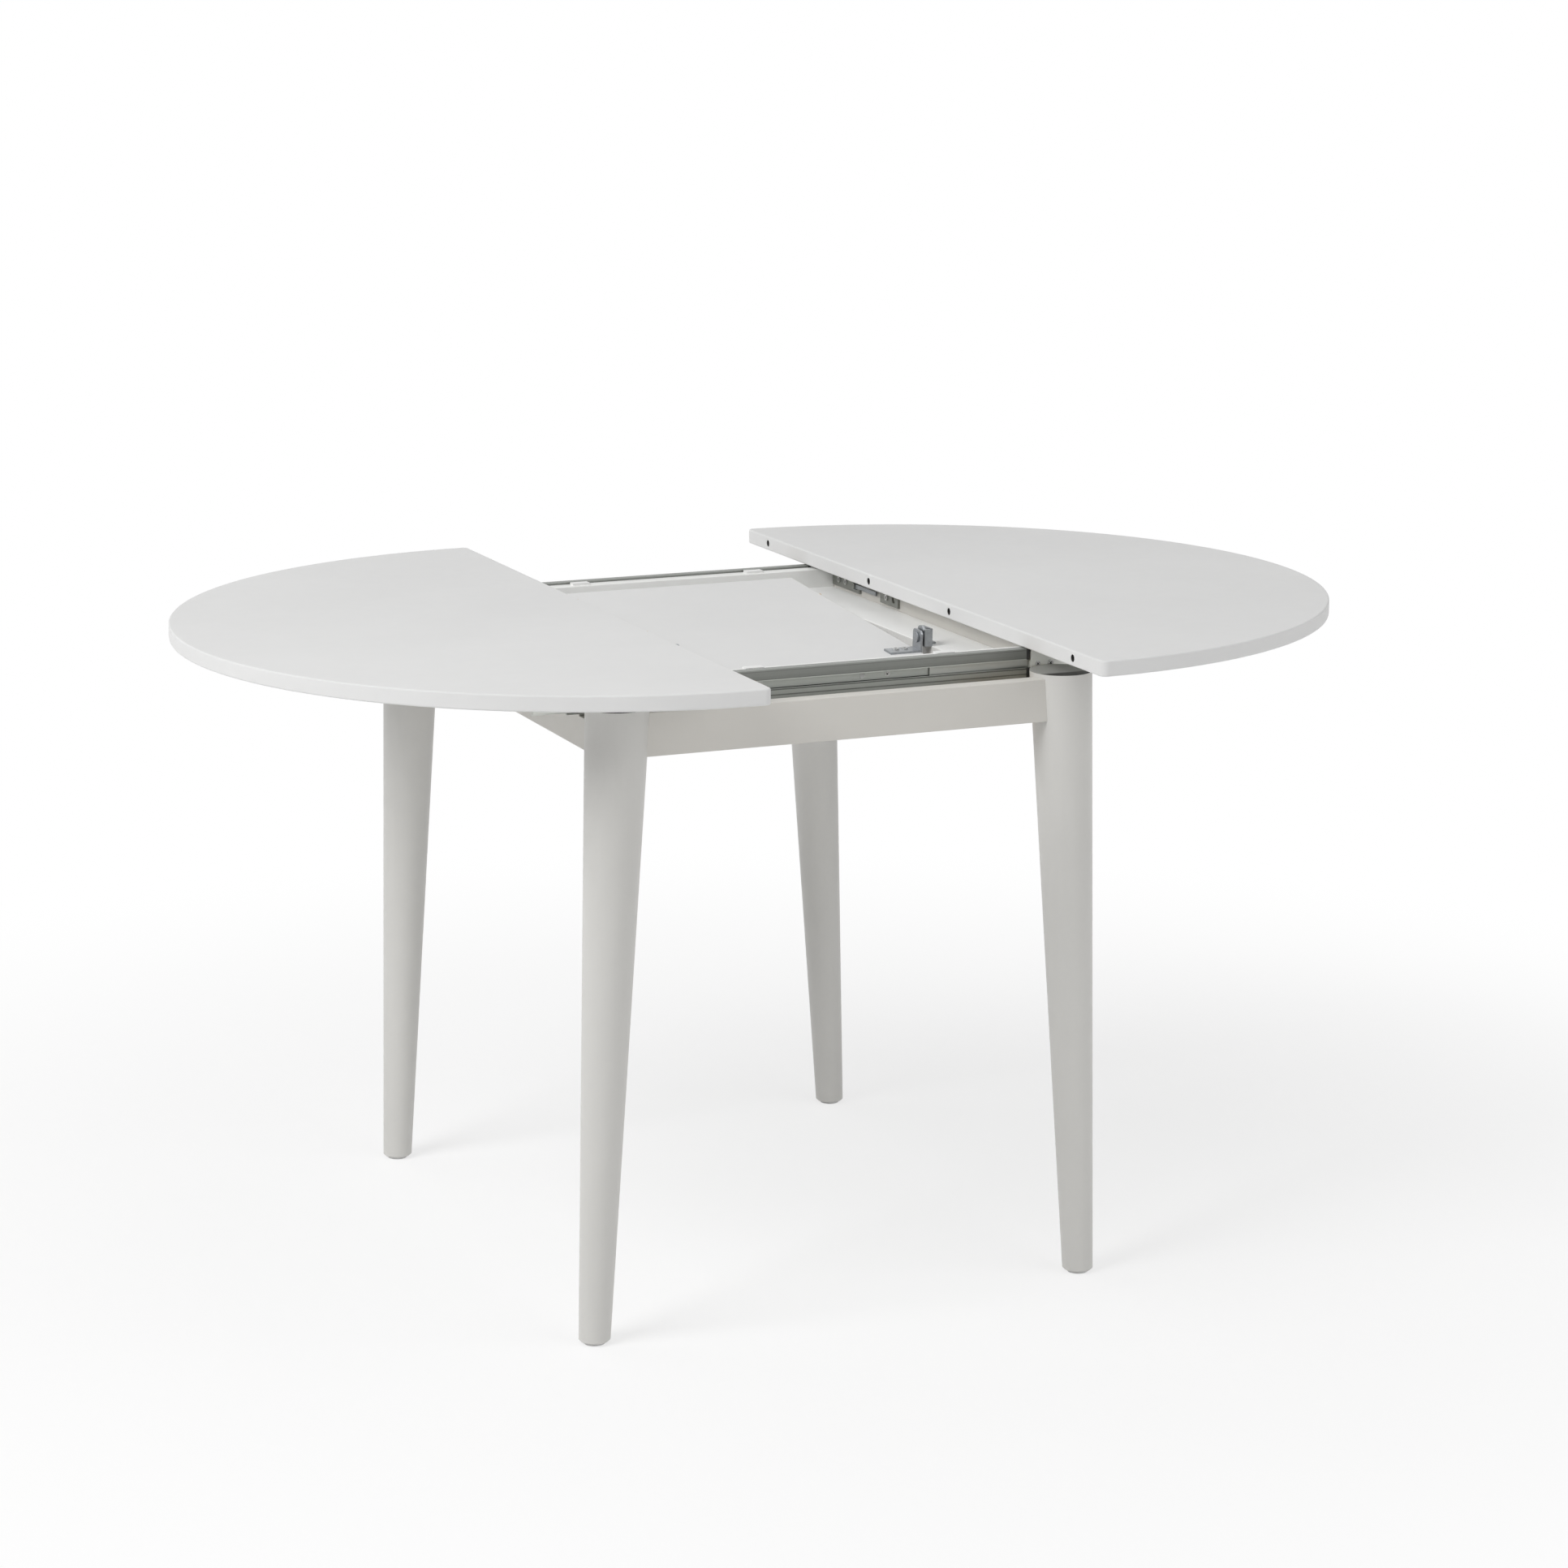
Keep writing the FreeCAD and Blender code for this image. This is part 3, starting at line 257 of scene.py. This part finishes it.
def painted(name, base, roughness, gloss=0.5):
    """Sprayed paint."""
    n = Finish(name)
    n.color(sprayed_tone(n, base))
    sprayed_surface(n, roughness)
    n.constant("Specular IOR Level", gloss)
    return n.material


def leg_paint_end_shade(name, base, roughness):
    """Sprayed paint down a leg, whose upper end is painted shade: grey, going dark towards the outside."""
    n = Finish(name)
    outwards = n.math("ABSOLUTE", n.axis(n.coordinates(), "Y"))
    # Painted shade on the upper end, grey going near black towards the outside
    end = n.ramp(n.rescaled(outwards, (LEG_AXIS_Y - LEG_RADIUS, LEG_AXIS_Y + LEG_RADIUS)), LEG_END_SHADE_TONES)
    upward = n.math("GREATER_THAN", n.axis(n.geometry("True Normal"), "Z"), FACING_UP)
    n.color(n.mixed(upward, sprayed_tone(n, base), end))
    sprayed_surface(n, roughness)
    return n.material


def board_paint_edge_shade(name, base, edge, roughness):
    """Sprayed paint on a board's faces, with mottled painted shade on its two long edges."""
    n = Finish(name)
    edge_mottle = n.noise(EDGE_SHADE_SCALE, detail=3, roughness=0.7)
    # Painted shade for the gap line beside the leaf, on the edges that face sideways
    edge_shade = n.mottled(edge_mottle, shade(edge, EDGE_SHADE_DARK), edge)
    sideways = n.math("ABSOLUTE", n.axis(n.geometry("True Normal"), "X"))
    shaded_edge = n.math("GREATER_THAN", sideways, FACING_SIDEWAYS)
    n.color(n.mixed(shaded_edge, sprayed_tone(n, base), edge_shade))
    sprayed_surface(n, roughness)
    return n.material


# Metal, wood and plastic

ZINC_METALLIC, ROLLED_METALLIC = 0.92, 0.7
ZINC_DARK, ZINC_LIGHT = 0.82, 1.12
ZINC_SHEEN, ROLLED_SHEEN = (-0.07, 0.1), (-0.04, 0.06)
SPANGLE_SCALE = 140
STREAK_STRENGTH, STREAK_DEPTH = 0.12, 0.00005
DENT_SCALE, DENT_STRENGTH, DENT_DEPTH = 260, 0.1, 0.00004
ROLLED_STREAKS = (3, 2500, 5000)
ROLLED_WEAR = [(0.25, (0.965, 0.965, 0.965)), (0.75, (1.0, 1.0, 1.0))]
LATE_WOOD = 0.92
WOOD_ROUGHNESS, WOOD_SHEEN = 0.70, (-0.08, 0.08)
GRAIN_STRENGTH, GRAIN_DEPTH = 0.25, 0.0002
PLASTIC_DARK, PLASTIC_SHEEN = 0.96, (-0.05, 0.05)
PLASTIC_CLOUD_SCALE, PLASTIC_SHEEN_SCALE = 30, 300
MOULD_SCALE, MOULD_STRENGTH, MOULD_DEPTH = 1400, 0.2, 0.00003


def zinc(name, base, roughness, along):
    """Rolled, zinc-plated sheet: fine streaks along the rolling direction over a soft spangle."""
    n = Finish(name)
    streak = n.noise(1.0, detail=3, roughness=0.6, vector=n.stretched(along))
    n.color(n.ramp(streak, [(0.25, shade(base, ZINC_DARK)), (0.5, base), (0.78, shade(base, ZINC_LIGHT))]))
    n.rough(n.noise(SPANGLE_SCALE, detail=4), roughness, ZINC_SHEEN)
    dents = n.bump(n.noise(DENT_SCALE, detail=2), DENT_STRENGTH, DENT_DEPTH)
    n.normal(n.bump(streak, STREAK_STRENGTH, STREAK_DEPTH, dents))
    n.constant("Metallic", ZINC_METALLIC)
    return n.material


def rolled_profile(name, base, roughness, low, high, shade_bands):
    """A rolled zinc profile: bands of painted shade and highlight up its height, where the sheet steps, and
    fine streaks.
    """
    n = Finish(name)
    rise = n.rescaled(n.axis(n.coordinates(), "Z"), (low, high))
    stops = [((height - low) / (high - low), shade(base, share)) for height, share in shade_bands]
    wear = n.ramp(n.noise(1.0, detail=2, vector=n.stretched(ROLLED_STREAKS)), ROLLED_WEAR)
    n.color(n.multiplied(n.ramp(rise, stops, "CONSTANT"), wear))
    n.rough(n.noise(SPANGLE_SCALE, detail=4), roughness, ROLLED_SHEEN)
    n.constant("Metallic", ROLLED_METALLIC)
    return n.material


def timber(name, light, dark, along):
    """Bare wood with grain along one axis."""
    n = Finish(name)
    grain = n.noise(1.0, detail=6, roughness=0.65, vector=n.stretched(along))
    n.color(n.ramp(grain, [(0.3, dark), (0.55, light), (0.8, shade(light, LATE_WOOD))]))
    n.rough(grain, WOOD_ROUGHNESS, WOOD_SHEEN)
    n.normal(n.bump(grain, GRAIN_STRENGTH, GRAIN_DEPTH))
    return n.material


def plastic(name, base, roughness):
    """Moulded plastic with a fine grain."""
    n = Finish(name)
    n.color(n.mottled(n.noise(PLASTIC_CLOUD_SCALE, detail=3), shade(base, PLASTIC_DARK), base))
    n.rough(n.noise(PLASTIC_SHEEN_SCALE, detail=2), roughness, PLASTIC_SHEEN)
    n.normal(n.bump(n.noise(MOULD_SCALE, detail=2), MOULD_STRENGTH, MOULD_DEPTH))
    return n.material


# Finishes of the table

# Painted shade and highlights on the steps of the slides' profiles: the height where each band begins, and
# its share of the base tone
CHANNEL_LOW, CHANNEL_HIGH = 0.697, 0.7315
RUNNER_HIGH = 0.732
CHANNEL_SHADE_BANDS = ((0.6970, 2.4), (0.6982, 1.05), (0.7016, 0.5), (0.7030, 1.1), (0.7076, 0.45), (0.7092, 1.5),
                 (0.7198, 0.5), (0.7208, 0.62), (0.7240, 0.66), (0.7290, 0.5), (0.7300, 0.8))
MEMBER_SHADE_BANDS = ((0.6970, 0.9), (0.7096, 0.62), (0.7104, 1.0), (0.7182, 0.7), (0.7190, 0.95))
RUNNER_SHADE_BANDS = ((0.6970, 0.95), (0.7040, 1.0))

TOP_PAINT = painted("top_paint", (0.757, 0.757, 0.752), roughness=0.6, gloss=0.12)
# Painted light: the rails' and cross boards' paint is a lighter copy of the tops' white paint, lifting the
# shade in the well
WELL_PAINT = painted("well_paint", (0.84, 0.842, 0.825), 0.45)
CROSS_PAINT = board_paint_edge_shade("cross_paint", (0.90, 0.902, 0.888), (0.72, 0.715, 0.695), 0.45)
# The grey is the frame's own paint tone; its slight warm tint is painted warm bounce light for the shade
# under the tops
FRAME_PAINT = painted("frame_paint", (0.645, 0.627, 0.587), 0.46)
LEG_PAINT = leg_paint_end_shade("leg_paint_end_shade", (0.63, 0.622, 0.598), 0.46)
# Painted shade: the channels' zinc is a darker copy of the slides' zinc, for the shade inside the channel
CHANNEL_ZINC_SHADED = rolled_profile("channel_zinc", (0.30, 0.312, 0.292), 0.45,
                              CHANNEL_LOW, CHANNEL_HIGH, CHANNEL_SHADE_BANDS)
SLIDE_ZINC = rolled_profile("slide_zinc", (0.47, 0.482, 0.455), 0.48, CHANNEL_LOW, CHANNEL_HIGH, MEMBER_SHADE_BANDS)
# Painted light: the runners' zinc is a lighter copy of the slides' zinc, lifting the shade under the tops
RUNNER_ZINC_LIT = rolled_profile("runner_zinc", (0.74, 0.75, 0.71), 0.52, CHANNEL_LOW, RUNNER_HIGH, RUNNER_SHADE_BANDS)
FITTING_ZINC = zinc("fitting_zinc", (0.33, 0.345, 0.36), 0.34, (300, 40, 300))
CATCH_ZINC = zinc("catch_zinc", (0.27, 0.275, 0.255), 0.42, (300, 12, 300))
SCREW_ZINC = zinc("screw_zinc", (0.56, 0.56, 0.55), 0.30, (500, 500, 500))
# Painted shade: the screws' cross recesses take a near-black copy of the screw zinc
RECESS_SHADE_ZINC = zinc("recess_zinc", (0.06, 0.06, 0.058), 0.5, (500, 500, 500))
BEECH = timber("beech", (0.62, 0.46, 0.30), (0.50, 0.35, 0.21), (30, 900, 900))
PINE = timber("pine", (0.66, 0.50, 0.32), (0.52, 0.36, 0.20), (900, 60, 700))
WHITE_PLASTIC = plastic("white_plastic", (0.83, 0.83, 0.82), 0.5)
BLACK_PLASTIC = plastic("black_plastic", (0.022, 0.022, 0.021), 0.5)
HOLE_SHADE = plastic("hole_shade", (0.035, 0.034, 0.032), 0.7)

FINISHES = {
    "painted_top": TOP_PAINT,
    "painted_frame": FRAME_PAINT,
    "raw_wood": PINE,
    "beech": BEECH,
    "white_plastic": WHITE_PLASTIC,
    "zinc_slide": SLIDE_ZINC,
    "zinc_fitting": FITTING_ZINC,
}
# Pieces whose finish differs from the rest of their slot
SPECIAL = {
    "front_rail": WELL_PAINT,
    "back_rail": WELL_PAINT,
    "left_cross_board": CROSS_PAINT,
    "right_cross_board": CROSS_PAINT,
    "front_channel": CHANNEL_ZINC_SHADED,
    "back_channel": CHANNEL_ZINC_SHADED,
    "left_runner_front": RUNNER_ZINC_LIT,
    "left_runner_back": RUNNER_ZINC_LIT,
    "right_runner_front": RUNNER_ZINC_LIT,
    "right_runner_back": RUNNER_ZINC_LIT,
    "catch_plate": CATCH_ZINC,
    "catch_keeper": CATCH_ZINC,
}


def dress():
    slots = {piece["node"]: piece["material_slot"] for piece in frame["record"]["subparts"]}
    for name, piece in nodes.items():
        finish = SPECIAL.get(name, FINISHES[slots[name]])
        if name.endswith(("screws", "bolts", "nuts")):
            finish = SCREW_ZINC
        if name.endswith("_leg"):
            finish = LEG_PAINT
        piece.data.materials.clear()
        piece.data.materials.append(finish)


def finished(work, name, material, body):
    """Turns a bmesh into a piece of the table that moves with a body."""
    mesh = bpy.data.meshes.new(name)
    work.to_mesh(mesh)
    work.free()
    mesh.materials.append(material)
    piece = bpy.data.objects.new(name, mesh)
    scene.collection.objects.link(piece)
    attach(piece, body)


# Painted shade in the dowel holes: thin dark cups

HOLE_RADIUS = 0.0043
HOLE_DEPTH = 0.012
DOWEL_SPOTS = (-0.430, -0.114, 0.114, 0.430)
SHADE_CUP_OUTER = HOLE_RADIUS - 0.00003
SHADE_CUP_INNER = HOLE_RADIUS - 0.00020
SHADE_CUP_MOUTH = 0.0006
SHADE_CUP_BACK = HOLE_DEPTH - 0.0001
SHADE_CUP_FLOOR = HOLE_DEPTH - 0.0016
SHADE_CUP_CORNER = HOLE_DEPTH - 0.0022
SHADE_CUP_FLOOR_RADIUS = SHADE_CUP_INNER * 0.7
SHADE_CUP_STEPS = 32
SHADE_CUP_MERGE = 0.00001


def hole_shade_cup(name, mouth, body):
    """A thin dark cup of painted shade inside a dowel hole that opens towards -X."""
    profile = [(SHADE_CUP_FLOOR, 0.0), (SHADE_CUP_FLOOR, SHADE_CUP_FLOOR_RADIUS), (SHADE_CUP_CORNER, SHADE_CUP_INNER),
               (SHADE_CUP_MOUTH, SHADE_CUP_INNER), (SHADE_CUP_MOUTH, SHADE_CUP_OUTER), (SHADE_CUP_BACK, SHADE_CUP_OUTER),
               (SHADE_CUP_BACK, 0.0)]
    work = bmesh.new()
    line = [work.verts.new((mouth[0] + x, mouth[1] + r, mouth[2])) for x, r in profile]
    edges = [work.edges.new(pair) for pair in zip(line, line[1:])]
    bmesh.ops.spin(work, geom=line + edges, cent=mouth, axis=(1, 0, 0), angle=2 * math.pi, steps=SHADE_CUP_STEPS,
                   use_duplicate=False)
    bmesh.ops.remove_doubles(work, verts=work.verts, dist=SHADE_CUP_MERGE)
    bmesh.ops.recalc_face_normals(work, faces=work.faces)
    finished(work, name, HOLE_SHADE, body)


def shade_holes():
    low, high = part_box("right_top")
    for n, place in enumerate(DOWEL_SPOTS):
        hole_shade_cup(f"hole_shade_cup_{n}", Vector((low[0], place, (low[2] + high[2]) / 2)), "right_half")


# Black caps on the ends of the slide channels

BASE_X = -0.048
CHANNEL_END = 0.243
CHANNEL_BACK, CHANNEL_TIP = 0.303, 0.315
CHANNEL_SHEET = 0.0015
SLOT_LOW, SLOT_HIGH = 0.7095, 0.7190
CAP_LENGTH = 0.004
CAP_BEVEL, CAP_BEVEL_STEPS = 0.0004, 2


def end_cap(name, across, along):
    """A moulded collar with the channel's own C-shaped section, so that the members still pass through it."""
    inner_back, inner_tip = CHANNEL_BACK + CHANNEL_SHEET, CHANNEL_TIP - CHANNEL_SHEET
    inner_low, inner_high = CHANNEL_LOW + CHANNEL_SHEET, CHANNEL_HIGH - CHANNEL_SHEET
    section = [(CHANNEL_TIP, SLOT_LOW), (CHANNEL_TIP, CHANNEL_LOW), (CHANNEL_BACK, CHANNEL_LOW),
               (CHANNEL_BACK, CHANNEL_HIGH), (CHANNEL_TIP, CHANNEL_HIGH), (CHANNEL_TIP, SLOT_HIGH),
               (inner_tip, SLOT_HIGH), (inner_tip, inner_high), (inner_back, inner_high),
               (inner_back, inner_low), (inner_tip, inner_low), (inner_tip, SLOT_LOW)]
    near = BASE_X + across * CHANNEL_END
    work = bmesh.new()
    near_ring = [work.verts.new((near, along * y, z)) for y, z in section]
    far_ring = [work.verts.new((near + across * CAP_LENGTH, along * y, z)) for y, z in section]
    count = len(section)
    for n in range(count):
        work.faces.new((near_ring[n], near_ring[(n + 1) % count], far_ring[(n + 1) % count], far_ring[n]))
    for ring in (near_ring, far_ring):
        for n in range(count // 2 - 1):
            work.faces.new((ring[n], ring[n + 1], ring[count - 2 - n], ring[count - 1 - n]))
    rim = [work.edges.get((far_ring[n], far_ring[(n + 1) % count])) for n in range(count)]
    bmesh.ops.bevel(work, geom=rim, offset=CAP_BEVEL, segments=CAP_BEVEL_STEPS, affect="EDGES")
    bmesh.ops.recalc_face_normals(work, faces=work.faces)
    finished(work, name, BLACK_PLASTIC, "base")


def cap_channels():
    for half, across in (("left", -1), ("right", 1)):
        for side, along in (("front", -1), ("back", 1)):
            end_cap(f"{side}_{half}_channel_cap", across, along)


# Cross recesses in the screw heads

SCREW_MERGE = 0.000001
SAME_AREA = 0.98
PLANE_DIGITS = 2
# Shares of the head's radius, of an arm's width, and of the outline at the recess's foot
CROSS_REACH, CROSS_HALF_WIDTH = 0.58, 0.13
ROOT_WIDTH, TIP_WIDTH, FOOT_SIZE = 1.25, 0.8, 0.8
CROSS_RISE, CROSS_DEPTH = Vector((0, 0, 0.00003)), Vector((0, 0, 0.0006))


def islands(work):
    """The groups of faces of a mesh that hang together, which are its single screws."""
    left = dict.fromkeys(work.faces)
    while left:
        island, reached = [], [left.popitem()[0]]
        while reached:
            face = reached.pop()
            island.append(face)
            for edge in face.edges:
                for other in edge.link_faces:
                    if other in left:
                        del left[other]
                        reached.append(other)
        yield island


def flats(island):
    """The faces of a screw, grouped by the plane that they lie in, with each group's area."""
    planes = {}
    for face in island:
        offset_cm = face.normal.dot(face.calc_center_median()) * 100
        plane = tuple(round(v, PLANE_DIGITS) for v in (*face.normal, offset_cm))
        planes.setdefault(plane, []).append(face)
    return [(sum(face.calc_area() for face in flat), flat) for flat in planes.values()]


def middle(flat):
    weighted = sum((face.calc_center_median() * face.calc_area() for face in flat), Vector())
    return weighted / sum(face.calc_area() for face in flat)


def heads(node):
    """The centre, outward direction and radius of the flat head of every screw in a node."""
    work = bmesh.new()
    work.from_mesh(nodes[node].data)
    bmesh.ops.remove_doubles(work, verts=work.verts, dist=SCREW_MERGE)
    found = []
    for island in islands(work):
        areas = flats(island)
        largest = max(area for area, flat in areas)
        wide = [flat for area, flat in areas if area > SAME_AREA * largest]
        head = max(wide, key=lambda flat: abs(middle(flat).y))
        found.append((middle(head), head[0].normal.copy(), math.sqrt(largest / math.pi)))
    work.free()
    return found


def cross_recesses(node, body):
    """Crosses let into the heads of a node's screws, each with tapered arms, dark with painted shade."""
    work = bmesh.new()
    for centre, outwards, radius in heads(node):
        turn = outwards.to_track_quat("Z", "Y").to_matrix()
        reach, half = CROSS_REACH * radius, CROSS_HALF_WIDTH * radius
        arm = ((half, -half * ROOT_WIDTH, 0), (reach, -half * TIP_WIDTH, 0), (reach, half * TIP_WIDTH, 0))
        outline = []
        for n in range(4):
            quarter = Matrix.Rotation(math.pi / 4 + n * math.pi / 2, 3, "Z")
            outline += [quarter @ Vector(corner) for corner in arm]
        top = [work.verts.new(centre + turn @ (corner + CROSS_RISE)) for corner in outline]
        low = [work.verts.new(centre + turn @ (corner * FOOT_SIZE - CROSS_DEPTH)) for corner in outline]
        count = len(outline)
        for n in range(count):
            work.faces.new((top[n], low[n], low[(n + 1) % count], top[(n + 1) % count]))
        work.faces.new(top)
        work.faces.new(low[::-1])
    work.normal_update()
    bmesh.ops.triangulate(work, faces=[face for face in work.faces if len(face.verts) > 4])
    finished(work, f"{node}_recesses", RECESS_SHADE_ZINC, body)


def mark_screws():
    bodies = frame["record"]["behaviour"]["bodies"]
    carriers = {node: body for body, members in bodies.items() for node in members}
    for node in nodes:
        if node.endswith("_screws"):
            cross_recesses(node, carriers[node])


# Studio

AMBIENT = 0.16
# Name, place, aim, size and power of each lamp
LAMPS = (
    ("left_key", (-4.4, -1.2, 4.3), (0, 0, 0.7), (3.0, 3.0), 232),
    ("overhead", (1.3, -0.3, 4.2), (0, 0, 0.7), (4.5, 4.5), 34),
    ("right_fill", (2.6, -3.6, 2.2), (0, 0, 0.6), (4.6, 3.2), 68),
    ("back_fill", (-2.4, 4.0, 3.6), (0, 0, 0.6), (4.4, 3.2), 44),
)
FLOOR_REACH = 120.0
FLOOR_SCALE, FLOOR_DARK, FLOOR_LIGHT = 2.0, (0.93, 0.93, 0.93), (0.95, 0.95, 0.95)
FLOOR_ROUGHNESS, FLOOR_GLOSS = 0.9, 0.1
# Distances from the table's middle between which the floor fades, and its share of plain white at each
FLOOR_NEAR, FLOOR_FAR = 0.6, 1.9
FLOOR_WHITE = (0.68, 1.0)


def lamp(name, place, aim, size, power):
    data = bpy.data.lights.new(name, "AREA")
    data.shape = "RECTANGLE"
    data.size, data.size_y = size
    data.energy = power
    light = bpy.data.objects.new(name, data)
    scene.collection.objects.link(light)
    light.matrix_world = looking(place, Vector(aim) - Vector(place))


def studio():
    """Soft lamps, and a world that shows as plain white and gives a weak light from all round."""
    scene.world = bpy.data.worlds.new("studio")
    scene.world.use_nodes = True
    world = Tree(scene.world.node_tree)
    out = world.add("ShaderNodeOutputWorld")
    back = world.add("ShaderNodeBackground")
    back.inputs["Color"].default_value = (1, 1, 1, 1)
    world.join(world.rescaled(world.seen(), (0.0, 1.0), (AMBIENT, 1.0)), back.inputs["Strength"])
    world.join(back.outputs["Background"], out.inputs["Surface"])
    for settings in LAMPS:
        lamp(*settings)


def floor():
    """A pale floor that keeps a soft shadow near the table and fades to white further out."""
    mesh = bpy.data.meshes.new("floor")
    corners = [(-FLOOR_REACH, -FLOOR_REACH, 0), (FLOOR_REACH, -FLOOR_REACH, 0),
               (FLOOR_REACH, FLOOR_REACH, 0), (-FLOOR_REACH, FLOOR_REACH, 0)]
    mesh.from_pydata(corners, [], [(0, 1, 2, 3)])
    ground = bpy.data.objects.new("floor", mesh)
    scene.collection.objects.link(ground)
    n = Finish("floor_white")
    n.constant("Roughness", FLOOR_ROUGHNESS)
    n.constant("Specular IOR Level", FLOOR_GLOSS)
    n.color(n.mottled(n.noise(FLOOR_SCALE, detail=3), FLOOR_DARK, FLOOR_LIGHT))
    away = n.add("ShaderNodeVectorMath", operation="LENGTH")
    n.join(n.geometry("Position"), away.inputs[0])
    white = n.rescaled(away.outputs["Value"], (FLOOR_NEAR, FLOOR_FAR), FLOOR_WHITE, "SMOOTHSTEP")
    glow = n.add("ShaderNodeEmission")
    glow.inputs["Color"].default_value = (1, 1, 1, 1)
    mix = n.add("ShaderNodeMixShader")
    n.join(n.math("MULTIPLY", white, n.seen()), mix.inputs["Fac"])
    n.join(n.shader.outputs["BSDF"], mix.inputs[1])
    n.join(glow.outputs["Emission"], mix.inputs[2])
    n.join(mix.outputs["Shader"], n.out.inputs["Surface"])
    mesh.materials.append(n.material)


place_camera()
dress()
shade_holes()
cap_channels()
mark_screws()
studio()
floor()
scene.view_settings.view_transform = "Standard"
